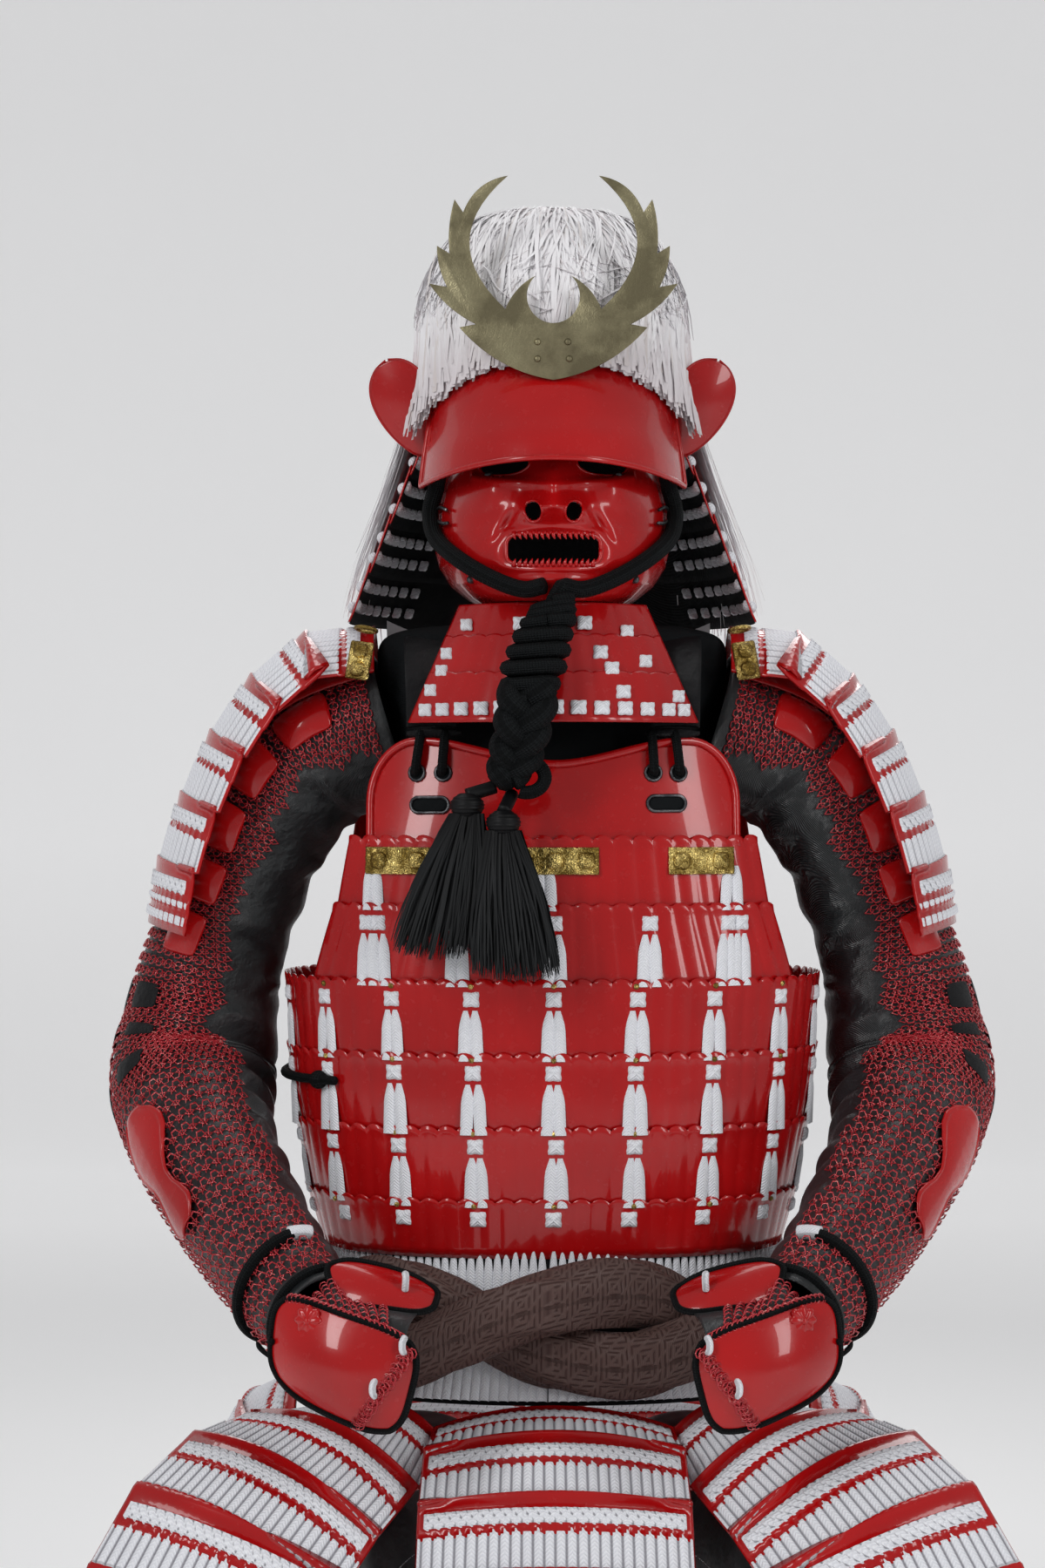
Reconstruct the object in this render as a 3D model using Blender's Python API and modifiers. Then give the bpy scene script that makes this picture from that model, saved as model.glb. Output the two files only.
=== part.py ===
"""Samurai armour as it is worn by someone seated: helmet, mask, cuirass, sleeves, shoulder guards and skirt.

Metres, +Z up, the front faces -Y and the wearer's left is +X. The origin is on the shoulders, at the base of the
neck, where the wearer carries the cuirass. Every piece is hollow and nothing fills it.
"""

import math

import bmesh
import bpy
import numpy as np

# Walls and clearances
PLATE = 0.0015
CLOTH = 0.003
STEP_OUT = 0.0029
SEAM = 0.0004

# Cuirass: half width and half depth of the body at each height
BODY_SECTIONS = {
    "z": [-0.47, -0.40, -0.33, -0.25, -0.15, -0.06],
    "half_width": [0.166, 0.182, 0.194, 0.198, 0.187, 0.165],
    "half_depth": [0.132, 0.137, 0.140, 0.138, 0.126, 0.108],
}
BODY_SQUARENESS = 2.5
LAME_TOPS = [-0.143, -0.192, -0.2465, -0.2995, -0.3524, -0.4048]
CUIRASS_BOTTOM = -0.444
LAME_OVERLAP = 0.0055
SCALLOP = 0.004
PLATES_ROUND = 30
SIDE_OPENING = 90.0

# Chest plate outline
CHEST_HALF_WIDTH = 0.133
CHEST_PEAK_X = 0.098
CHEST_PEAK_Z = -0.069
CHEST_DIP_Z = -0.086
CHEST_CORNER = 0.045

# Helmet
BOWL_HALF_WIDTH = 0.092
BOWL_HALF_DEPTH = 0.108
BOWL_HEIGHT = 0.108
BOWL_RIM_Z = 0.165
NECK_GUARD_TOP = 0.168
NECK_GUARD_BOTTOM = 0.020
NECK_LAMES = 4
NECK_HALF_WIDTH = (0.0922, 0.154)
NECK_HALF_DEPTH = (0.1082, 0.170)
NECK_FRONT_ANGLE = 81.0

# Mask: half width and depth of the face at each height
FACE_SECTIONS = {
    "z": [0.030, 0.036, 0.046, 0.060, 0.083, 0.100, 0.125, 0.158],
    "half_width": [0.052, 0.063, 0.076, 0.085, 0.091, 0.089, 0.084, 0.076],
    "depth": [0.104, 0.113, 0.119, 0.119, 0.117, 0.115, 0.111, 0.106],
}
FACE_SQUARENESS = 2.3

# Laced panels: plates a pitch apart, each lapping over the laces of the one above
SHOULDER_PITCH = 0.0545
SKIRT_PITCH = 0.056
PANEL_STEP = 0.0045
PANEL_WALL = 0.003
LIP = 0.0015

# Sash: two strands twisted round each other
SASH_Z = -0.489
SASH_TURNS = 4
SASH_RADIAL = 0.0135
SASH_HEIGHT = 0.0250

# Arm: rows of x, y, z and the two half widths of the sleeve, outwards and forwards. It is sewn in two at the elbow.
SLEEVE_RINGS = 13
ELBOW_RING = 6
ARM_ROWS = [
    (-0.1302, 0.005, -0.068, 0.057, 0.062),
    (-0.176, 0.007, -0.080, 0.056, 0.060),
    (-0.214, 0.010, -0.125, 0.053, 0.056),
    (-0.237, 0.012, -0.183, 0.048, 0.053),
    (-0.2575, 0.012, -0.237, 0.0525, 0.054),
    (-0.266, 0.008, -0.285, 0.058, 0.057),
    (-0.272, -0.010, -0.330, 0.060, 0.059),
    (-0.252, -0.072, -0.376, 0.050, 0.053),
    (-0.213, -0.152, -0.426, 0.043, 0.044),
    (-0.177, -0.222, -0.460, 0.037, 0.036),
    (-0.158, -0.258, -0.472, 0.036, 0.034),
]

RED = (0.50, 0.012, 0.012)
BLACK = (0.012, 0.013, 0.014)
WHITE = (0.80, 0.80, 0.84)
BRASS = (0.42, 0.36, 0.20)
GILT = (0.78, 0.62, 0.20)
BROWN = (0.065, 0.030, 0.024)


def clear_scene():
    for old in list(bpy.data.objects):
        bpy.data.objects.remove(old, do_unlink=True)


def make_material(name, colour, roughness, metallic=0.0):
    made = bpy.data.materials.new(name)
    made.use_nodes = True
    shader = made.node_tree.nodes["Principled BSDF"]
    shader.inputs["Base Color"].default_value = (*colour, 1.0)
    shader.inputs["Roughness"].default_value = roughness
    shader.inputs["Metallic"].default_value = metallic
    return made


def make_collection(name):
    made = bpy.data.collections.new(name)
    bpy.context.scene.collection.children.link(made)
    return made


clear_scene()
SUIT = make_collection("samurai_armour")
CUTTERS = make_collection("cutters")
LACQUER = make_material("red_lacquer", RED, 0.18)
LEATHER = make_material("black_leather", BLACK, 0.45)
BLACK_CLOTH = make_material("black_cloth", BLACK, 0.75)
LACING = make_material("white_lacing", WHITE, 0.8)
CREST_BRASS = make_material("crest_brass", BRASS, 0.38, 1.0)
GILDING = make_material("gilt_fittings", GILT, 0.3, 1.0)
SASH_CLOTH = make_material("sash_brocade", BROWN, 0.55)
HAIR = make_material("white_hair", WHITE, 0.9)


def mirrored(grid):
    """The same surface on the other side, with its columns still running left to right seen from outside."""
    return grid[:, ::-1] * np.array([-1.0, 1.0, 1.0])


def unit(vectors):
    return vectors / np.linalg.norm(vectors, axis=-1, keepdims=True)


def through(rows, count):
    """Points of a smooth curve through the rows, evenly spread over them, by the Catmull-Rom rule."""
    rows = np.asarray(rows, float)
    held = np.vstack([2 * rows[0] - rows[1], rows, 2 * rows[-1] - rows[-2]])
    at = np.linspace(0, len(rows) - 1, count)
    first = np.minimum(at.astype(int), len(rows) - 2)
    t = (at - first)[:, None]
    a, b, c, d = (held[first + k] for k in range(4))
    return 0.5 * (2 * b + (c - a) * t + (2 * a - 5 * b + 4 * c - d) * t**2 + (3 * b - a - 3 * c + d) * t**3)


def evenly_spaced(points, count):
    """Points an equal distance apart along a line of points."""
    length = np.concatenate([[0], np.cumsum(np.linalg.norm(np.diff(points, axis=0), axis=1))])
    wanted = np.linspace(0, length[-1], count)
    return np.stack([np.interp(wanted, length, points[:, k]) for k in range(points.shape[1])], axis=1)


def cell_faces(shape, closed, keep=None):
    """Faces between the neighbouring points of a grid, facing out where rows run down and columns to the right."""
    index = np.arange(shape[0] * shape[1]).reshape(shape[:2])
    right = np.roll(index, -1, axis=1) if closed else index[:, 1:]
    left = index if closed else index[:, :-1]
    cells = np.stack([left[:-1], left[1:], right[1:], right[:-1]], axis=-1)
    return (cells if keep is None else cells[keep]).reshape(-1, 4)


def add_mesh(name, material, points, faces):
    """A mesh object in the suit, with coincident points made one."""
    mesh = bpy.data.meshes.new(name)
    mesh.from_pydata(np.asarray(points).tolist(), [], np.asarray(faces).tolist())
    work = bmesh.new()
    work.from_mesh(mesh)
    bmesh.ops.remove_doubles(work, verts=work.verts, dist=1e-6)
    work.to_mesh(mesh)
    work.free()
    mesh.shade_smooth()
    mesh.set_sharp_from_angle(angle=math.radians(40))
    mesh.materials.append(material)
    made = bpy.data.objects.new(name, mesh)
    SUIT.objects.link(made)
    return made


def sheet(name, material, grid, wall=PLATE, closed=False):
    """A wall whose outer face is the grid, thickened inwards."""
    made = add_mesh(name, material, grid.reshape(-1, 3), cell_faces(grid.shape, closed))
    thick = made.modifiers.new("wall", "SOLIDIFY")
    thick.thickness = wall
    thick.offset = -1.0
    return made


def wall_between(name, material, outer, inner, closed=False, keep=None):
    """A wall with one grid as its outer face and another as its inner face, closed along every free edge."""
    cells = cell_faces(outer.shape, closed, keep)
    count = outer.shape[0] * outer.shape[1]
    edges = {(int(a), int(b)) for cell in cells for a, b in zip(cell, np.roll(cell, -1))}
    flat = outer.reshape(-1, 3)
    rims = [
        (b, a, a + count, b + count)
        for a, b in sorted(edges)
        if (b, a) not in edges and np.linalg.norm(flat[a] - flat[b]) > 1e-6
    ]
    quads = np.array(cells.tolist() + (cells[:, [0, 3, 2, 1]] + count).tolist() + rims)
    faces = np.concatenate([quads[:, [0, 1, 2]], quads[:, [0, 2, 3]]])
    return add_mesh(name, material, np.vstack([flat, inner.reshape(-1, 3)]), faces)


def tube_grid(line, half_out, half_front, sides, facing=(0.0, -1.0, 0.0)):
    """Rings of points round a line, oval where the two half widths differ, with the outward side vector of each."""
    along = unit(np.gradient(line, axis=0))
    side = unit(np.cross(along, np.asarray(facing)))
    front = np.cross(side, along)
    turn = np.linspace(0, 2 * math.pi, sides, endpoint=False)[None, :, None]
    ring = np.cos(turn) * (front * half_front[:, None])[:, None] - np.sin(turn) * (side * half_out[:, None])[:, None]
    return line[:, None] + ring


def solid_tube(name, material, line, radius, sides=8, depth=1.0):
    """A filled tube with flat ends; depth flattens it from front to back."""
    radius = np.broadcast_to(radius, len(line)).astype(float)
    rings = tube_grid(line, radius, radius * depth, sides)
    ends = np.repeat(line[[0, -1]][:, None], sides, axis=1)
    grid = np.vstack([ends[:1], rings, ends[1:]])
    return add_mesh(name, material, grid.reshape(-1, 3), cell_faces(grid.shape, True))


def slab(name, outline, thick):
    """A flat plate of the outline's shape, which lies in X and Z, with its thickness about Y = 0."""
    work = bmesh.new()
    base = work.faces.new([work.verts.new((x, -thick / 2, z)) for x, z in outline])
    grown = bmesh.ops.extrude_face_region(work, geom=[base])
    moved = [v for v in grown["geom"] if isinstance(v, bmesh.types.BMVert)]
    bmesh.ops.translate(work, vec=(0, thick, 0), verts=moved)
    bmesh.ops.triangulate(work, faces=[f for f in work.faces if len(f.verts) > 4], ngon_method="EAR_CLIP")
    bmesh.ops.recalc_face_normals(work, faces=work.faces)
    mesh = bpy.data.meshes.new(name)
    work.to_mesh(mesh)
    work.free()
    return bpy.data.objects.new(name, mesh)


def superellipse(angles, half_width, half_depth, power):
    """Points of a rounded section; the angle is 0 at the front and grows towards +X, in degrees."""
    s, c = np.sin(np.radians(angles)), np.cos(np.radians(angles))
    x = half_width * np.sign(s) * np.abs(s) ** (2 / power)
    y = -half_depth * np.sign(c) * np.abs(c) ** (2 / power)
    return x, y


def body_point(angles, z, out=0.0):
    """The cuirass surface, moved out."""
    angles, z, out = np.broadcast_arrays(angles, z, out)
    width = np.interp(z, BODY_SECTIONS["z"], BODY_SECTIONS["half_width"]) + out
    depth = np.interp(z, BODY_SECTIONS["z"], BODY_SECTIONS["half_depth"]) + out
    x, y = superellipse(angles, width, depth, BODY_SQUARENESS)
    return np.stack([x, y, z], axis=-1)


def body_angle(x, z):
    """The angle at which the cuirass is x wide, in degrees."""
    share = np.abs(x) / np.interp(z, BODY_SECTIONS["z"], BODY_SECTIONS["half_width"])
    return np.sign(x) * np.degrees(np.arcsin(np.minimum(share, 1) ** (BODY_SQUARENESS / 2)))


def lame(name, top, bottom, top_angles, bottom_angles):
    """One row of upright plates: scalloped at the top, where it stands off the row above, and tucked in below."""
    arch = np.zeros(len(top_angles))
    arch[1::2] = SCALLOP
    share = np.array([0.0, 1.0])[:, None]
    angles = top_angles[None] * (1 - share) + bottom_angles[None] * share
    z = (top + arch)[None] * (1 - share) + bottom * share
    return sheet(name, LACQUER, body_point(angles, z, STEP_OUT * (1 - share)))


def make_cuirass():
    half = CHEST_HALF_WIDTH
    x = half * np.sin(np.linspace(-math.pi / 2, math.pi / 2, 17))
    near = np.clip(np.abs(x) / CHEST_PEAK_X, 0, 1)
    far = np.clip((np.abs(x) - CHEST_PEAK_X) / (half - CHEST_PEAK_X), 0, 1)
    top = CHEST_DIP_Z + (CHEST_PEAK_Z - CHEST_DIP_Z) * near**2 * (3 - 2 * near)
    top = top - CHEST_CORNER * (1 - np.sqrt(1 - far**2))
    bottom = LAME_TOPS[0] - 0.8 * LAME_OVERLAP
    share = np.linspace(0, 1, 5)[:, None]
    z = top[None] * (1 - share) + bottom * share
    sheet("chest_plate", LACQUER, body_point(body_angle(x[None], z), z))

    armhole = [(0.137, 0.150), (0.153, 0.183)]
    for number, (top_half, bottom_half) in enumerate(armhole):
        low = LAME_TOPS[number + 1] - LAME_OVERLAP
        spread = np.linspace(-1, 1, 2 * (9 + 2 * number) + 1)
        top_angles = spread * body_angle(top_half, LAME_TOPS[number])
        bottom_angles = spread * body_angle(bottom_half, low)
        lame(f"front_lame_{number + 1}", LAME_TOPS[number], low, top_angles, bottom_angles)

    lows = [z - LAME_OVERLAP for z in LAME_TOPS[3:]] + [CUIRASS_BOTTOM]
    gap = 1.2
    angles = np.linspace(-SIDE_OPENING + gap, 360 - SIDE_OPENING - gap, 2 * PLATES_ROUND + 1)
    for number, (top, low) in enumerate(zip(LAME_TOPS[2:], lows)):
        lame(f"body_lame_{number + 1}", top, low, angles, angles)

    share = np.linspace(0, 1, 6)[:, None]
    z = -0.050 * (1 - share) + (LAME_TOPS[2] - 1.2 * LAME_OVERLAP) * share
    spread = np.linspace(-1, 1, 13)[None]
    angles = 180 + spread * (body_angle(0.135, z) * (1 - share) + body_angle(0.172, z) * share)
    sheet("back_plate", LACQUER, body_point(angles, z))


def make_fittings():
    """Gilt bars that bend round the first row of plates."""
    bars = {"left": (-0.1105, 0.046), "centre": (0.001, 0.062), "right": (0.105, 0.047)}
    middle, height = -0.1575, 0.0195
    for side, (x, width) in bars.items():
        across = x + width * np.linspace(-0.5, 0.5, 5)[None]
        z = middle + height * np.array([0.5, -0.5])[:, None]
        on_row = STEP_OUT * 0.91 + SEAM + 0.0010
        grid = body_point(body_angle(across, z), z, on_row)
        sheet(f"gilt_bar_{side}", GILDING, grid, 0.001)


def make_shoulder_straps():
    """Straps from the back plate over the shoulders, and the toggles that button them to the chest plate."""
    rows = [(0.1122, -0.078), (0.1083, -0.050), (0.088, -0.018), (0.050, 0.0006), (0.0, 0.0071), (-0.045, 0.0017)]
    rows += [(-0.078, -0.022), (-0.0970, -0.0617)]
    line = through(rows, 13)
    across = np.linspace(0.068, 0.110, 3)
    grid = np.stack([np.stack([np.full(len(line), x), line[:, 0], line[:, 1]], axis=1) for x in across], axis=1)
    for side, made in (("left", grid), ("right", mirrored(grid))):
        sheet(f"shoulder_strap_{side}", LEATHER, made[:, ::-1], 0.004)
    for side, sign in (("left", 1), ("right", -1)):
        line = np.array([[sign * 0.087 + x, -0.1005, -0.0651] for x in np.linspace(-0.020, 0.020, 7)])
        thick = np.array([0.0015, 0.003, 0.004, 0.0042, 0.004, 0.003, 0.0015])
        solid_tube(f"toggle_{side}", LEATHER, line, thick, 8)


def bowl_half_widths(z, out=0.0):
    share = np.sqrt(np.clip(1 - ((z - BOWL_RIM_Z) / (BOWL_HEIGHT + out)) ** 2, 0, 1))
    return (BOWL_HALF_WIDTH + out) * share, (BOWL_HALF_DEPTH + out) * share


def make_bowl():
    work = bmesh.new()
    bmesh.ops.create_uvsphere(work, u_segments=20, v_segments=10, radius=1.0)
    bmesh.ops.delete(work, geom=[v for v in work.verts if v.co.z < -0.01], context="VERTS")
    bmesh.ops.scale(work, vec=(BOWL_HALF_WIDTH, BOWL_HALF_DEPTH, BOWL_HEIGHT), verts=work.verts)
    bmesh.ops.translate(work, vec=(0, 0, BOWL_RIM_Z), verts=work.verts)
    mesh = bpy.data.meshes.new("helmet_bowl")
    work.to_mesh(mesh)
    work.free()
    mesh.shade_smooth()
    mesh.materials.append(LACQUER)
    made = bpy.data.objects.new("helmet_bowl", mesh)
    SUIT.objects.link(made)
    thick = made.modifiers.new("wall", "SOLIDIFY")
    thick.thickness = 0.002
    thick.offset = -1.0


def make_brow():
    """The front of the helmet: it starts outside the bowl and runs down and forward into the arched peak."""
    rows = {"z": [0.212, 0.188, 0.165], "half_width": [0.0840, 0.0940, 0.0975], "half_depth": [0.0986, 0.1160, 0.1320]}
    angles = np.linspace(-70, 70, 15)
    edge_z = 0.1315 - 0.0145 * np.sin(np.radians(angles)) ** 2
    grid = []
    for z, width, depth in zip(*rows.values()):
        x, y = superellipse(angles, width, depth, 2.1)
        grid.append(np.stack([x, y, np.full_like(x, z)], axis=-1))
    x, y = superellipse(angles, 0.1040, 0.1530, 2.1)
    edge = np.stack([x, y, edge_z], axis=-1)
    grid += [grid[-1] * 0.48 + edge * 0.52 + np.array([0, -0.0015, 0.0015]), edge]
    sheet("helmet_brow", LACQUER, np.array(grid), 0.0018)


def make_neck_guard():
    """Flaring rows round the sides and back of the helmet, each outside the one above, open towards the face."""
    pitch = (NECK_GUARD_TOP - NECK_GUARD_BOTTOM) / NECK_LAMES
    angles = np.linspace(NECK_FRONT_ANGLE, 360 - NECK_FRONT_ANGLE, 19)
    for number in range(NECK_LAMES):
        top = NECK_GUARD_TOP - number * pitch + (LAME_OVERLAP if number else 0)
        low = NECK_GUARD_TOP - (number + 1) * pitch
        grid = []
        for z, out in ((top, STEP_OUT if number else 0.0020), (low, 0.0)):
            down = (NECK_GUARD_TOP - z) / (NECK_GUARD_TOP - NECK_GUARD_BOTTOM)
            width = np.interp(down, [0, 1], NECK_HALF_WIDTH) + out
            depth = np.interp(down, [0, 1], NECK_HALF_DEPTH) + out
            x, y = superellipse(angles, width, depth, 2.1)
            grid.append(np.stack([x, y, np.full_like(x, z)], axis=-1))
        sheet(f"neck_lame_{number + 1}", LACQUER, np.array(grid))


def make_turnbacks():
    """The ear-shaped plates at the front ends of the neck guard, turned out and back."""
    length, widest, dish = 0.076, 0.0255, 0.006
    t = np.linspace(0, 1, 7)
    half = widest * np.sqrt(np.clip(1 - (2 * t - 1) ** 2, 0.004, 1)) * (1.12 - 0.42 * t)
    foot = np.array([-0.1020, -0.0216, 0.1450])
    head = foot + length * unit(np.array([-0.38, -0.20, 0.92]))
    facing = unit(np.array([-0.28, -0.95, 0.10]))
    across = unit(np.cross(facing, foot - head))
    spread = np.linspace(-1, 1, 6)
    grid = head + t[:, None, None] * (foot - head) + (half[:, None] * spread[None])[..., None] * across
    bulge = dish * (1 - spread[None] ** 2) * np.sin(math.pi * t)[:, None]
    grid = grid + bulge[..., None] * facing
    sheet("turnback_right", LACQUER, grid, 0.0015)
    sheet("turnback_left", LACQUER, mirrored(grid), 0.0015)


def bowed(start, end, bow, count=4):
    """Points from start towards end, left out, on an arc that bows to the left of the way by this much."""
    start, end = np.asarray(start, float), np.asarray(end, float)
    t = np.linspace(0, 1, count, endpoint=False)[:, None]
    left = unit(np.array([start[1] - end[1], end[0] - start[0]]))
    return start + (end - start) * t + 4 * bow * t * (1 - t) * left


def make_crest():
    """A brass crescent with barbs along its back and a round notch at its middle, as one flat plate."""
    corners = {
        "x": [0.0, 0.0683, 0.0562, 0.0902, 0.0770, 0.0845, 0.0753, 0.0717, 0.0655, 0.0329, 0.0348, 0.0130],
        "z": [0.0, 0.0373, 0.0395, 0.0683, 0.0658, 0.0951, 0.0896, 0.1280, 0.1188, 0.1447, 0.0503, 0.0739],
        "bow": [-0.007, 0.0, -0.003, 0.0, -0.002, 0.0, -0.002, 0.0, -0.006, 0.0270, -0.003, 0.0],
    }
    points = list(zip(corners["x"], corners["z"]))
    outline = []
    for number, bow in enumerate(corners["bow"][:-1]):
        count = 7 if abs(bow) > 0.01 else 4 if abs(bow) > 0.0025 else 1
        outline += bowed(points[number], points[number + 1], bow, count).tolist()
    notch_z, notch_r = 0.0596, 0.0192
    first = math.atan2(points[-1][1] - notch_z, points[-1][0])
    for angle in np.linspace(first, -math.pi / 2, 8):
        outline.append([notch_r * math.cos(angle), notch_z + notch_r * math.sin(angle)])
    half = np.array(outline)
    whole = np.vstack([half, (half * [-1, 1])[-2:0:-1]])
    made = slab("crest", whole, 0.0012)
    made.location = (0, -0.1169, 0.1886)
    made.data.materials.append(CREST_BRASS)
    SUIT.objects.link(made)


def make_hair():
    """The hair that covers the bowl and falls over the neck guard, as one soft shell."""
    rows = {
        "out_z": [0.333, 0.327, 0.307, 0.268, 0.222, 0.175, 0.125, 0.075, 0.030, -0.020],
        "out_width": [0.0, 0.050, 0.080, 0.099, 0.104, 0.112, 0.128, 0.147, 0.1605, 0.160],
        "out_front": [0.0, 0.045, 0.075, 0.100, 0.109, 0.120, 0.120, 0.120, 0.120, 0.120],
        "out_back": [0.0, 0.060, 0.095, 0.125, 0.138, 0.148, 0.165, 0.180, 0.192, 0.196],
        "in_z": [0.2800, 0.272, 0.256, 0.233, 0.218, 0.170, 0.125, 0.075, 0.030, -0.018],
    }
    angles = np.linspace(0, 360, 24, endpoint=False)
    back = np.cos(np.radians(angles)) < 0
    outer, inner = [], []
    for z, width, front, rear, low in zip(*rows.values()):
        x, y = superellipse(angles, width, np.where(back, rear, front), 2.1)
        outer.append(np.stack([x, y, np.full_like(x, z)], axis=-1))
        if low > NECK_GUARD_TOP + STEP_OUT:
            wide, deep = bowl_half_widths(low, 0.007 if low > 0.225 else 0.0012)
        else:
            down = (NECK_GUARD_TOP - low) / (NECK_GUARD_TOP - NECK_GUARD_BOTTOM)
            wide = NECK_HALF_WIDTH[0] + (NECK_HALF_WIDTH[1] - NECK_HALF_WIDTH[0]) * min(down, 1) + STEP_OUT + 0.004
            deep = NECK_HALF_DEPTH[0] + (NECK_HALF_DEPTH[1] - NECK_HALF_DEPTH[0]) * min(down, 1) + STEP_OUT + 0.004
        x, y = superellipse(angles, wide, deep, 2.1)
        inner.append(np.stack([x, y, np.full_like(x, low)], axis=-1))
    inner[0][:, :2] = 0
    outer, inner = np.array(outer), np.array(inner)
    keep = np.ones((len(outer) - 1, len(angles)), bool)
    side = np.minimum(angles, 360 - angles - angles[1])
    keep[4:, side < NECK_FRONT_ANGLE + 8] = False
    keep[-1:, side < 118] = False
    wall_between("hair", HAIR, outer, inner, True, keep)


def bump(x, z, at_x, at_z, wide, tall):
    return np.exp(-(((x - at_x) / wide) ** 2) - ((z - at_z) / tall) ** 2)


def face_point(angles, z, out=0.0):
    """The mask's surface: a rounded section at each height, with nose, nostril wings, cheeks, lips and chin."""
    angles, z, out = np.broadcast_arrays(angles, z, out)
    width = np.interp(z, FACE_SECTIONS["z"], FACE_SECTIONS["half_width"])
    depth = np.interp(z, FACE_SECTIONS["z"], FACE_SECTIONS["depth"])
    x, y = superellipse(angles, width, depth, FACE_SQUARENESS)
    tip = np.interp(z, [0.080, 0.088, 0.097, 0.115, 0.140, 0.158], [0.0, 0.45, 1.0, 0.72, 0.38, 0.30])
    forward = 0.030 * tip * np.exp(-((x / (0.0135 + 0.05 * np.maximum(0.12 - z, 0))) ** 2))
    for side in (-1, 1):
        forward = forward + 0.010 * bump(x, z, side * 0.0165, 0.0935, 0.0095, 0.0090)
        forward = forward + 0.008 * bump(x, z, side * 0.048, 0.108, 0.018, 0.014)
        forward = forward - 0.007 * bump(x, z, side * 0.033, 0.132, 0.016, 0.011)
        forward = forward + 0.006 * bump(x, z, side * 0.062, 0.066, 0.018, 0.018)
    forward = forward + 0.007 * bump(x, z, 0, 0.067, 0.040, 0.017)
    forward = forward + 0.005 * bump(x, z, 0, 0.044, 0.022, 0.009)
    s, c = np.sin(np.radians(angles)), np.cos(np.radians(angles))
    return np.stack([x + out * s, y - forward - out * c, z], axis=-1)


def cut(target, cutter):
    """Takes the cutter's shape out of the target."""
    CUTTERS.objects.link(cutter)
    cutter.hide_render = True
    cutter.display_type = "WIRE"
    hole = target.modifiers.new("hole", "BOOLEAN")
    hole.operation = "DIFFERENCE"
    hole.object = cutter


def rounded_cutter(name, half, centre, tilt=0.0, power=4.0):
    """A rod along Y whose section is a rounded rectangle; tilt turns it about Y, in radians."""
    turn = np.linspace(0, 2 * math.pi, 14, endpoint=False)
    c, s = np.cos(turn), np.sin(turn)
    x = half[0] * np.sign(c) * np.abs(c) ** (2 / power)
    z = half[1] * np.sign(s) * np.abs(s) ** (2 / power)
    ring = np.stack([x, z], axis=1)
    made = slab(name, ring, 0.1)
    made.location = centre
    made.rotation_euler = (0, tilt, 0)
    return made


def make_mask():
    z = np.array([0.156, 0.142, 0.128, 0.115, 0.104, 0.096, 0.089, 0.081, 0.070, 0.058, 0.046, 0.031])[:, None]
    angles = np.degrees(np.arcsin(np.sin(np.linspace(-math.pi / 2, math.pi / 2, 19)) * 0.9976))[None]
    angles = np.sign(angles) * 86 * (np.abs(angles) / 86) ** 1.25
    made = sheet("mask", LACQUER, face_point(angles, z), 0.0016)
    cut(made, rounded_cutter("mouth_cutter", (0.033, 0.0095), (0, -0.130, 0.0665)))
    for name, sign in (("left", 1), ("right", -1)):
        nostril = (sign * 0.0140, -0.128, 0.0905)
        cut(made, rounded_cutter(f"nostril_cutter_{name}", (0.0048, 0.0068), nostril, sign * 0.35, 2.2))
        eye = (sign * 0.0350, -0.115, 0.1400)
        cut(made, rounded_cutter(f"eye_cutter_{name}", (0.0200, 0.0110), eye, sign * 0.1, 2.4))


def guard_point(share, z, out=0.0):
    """The throat guard's surface: wider and further forward as it comes down over the chest."""
    share, z, out = np.broadcast_arrays(share, z, out)
    down = 0.0295 - z
    half = 0.0700 + 0.415 * down
    y = -0.1055 - 0.500 * down + 0.046 * share**2 - out
    return np.stack([half * share, y, z], axis=-1)


def make_throat_guard():
    edges = [(0.0306, -0.0010), (0.0055, -0.0290), (-0.0220, -0.0570)]
    share = np.linspace(-1, 1, 13)[None]
    for number, (top, low) in enumerate(edges):
        z = np.array([top, low])[:, None]
        out = np.array([STEP_OUT + 2 * SEAM if number else 0.0, 0.0])[:, None]
        sheet(f"throat_lame_{number + 1}", LACQUER, guard_point(share, z, out))


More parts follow.
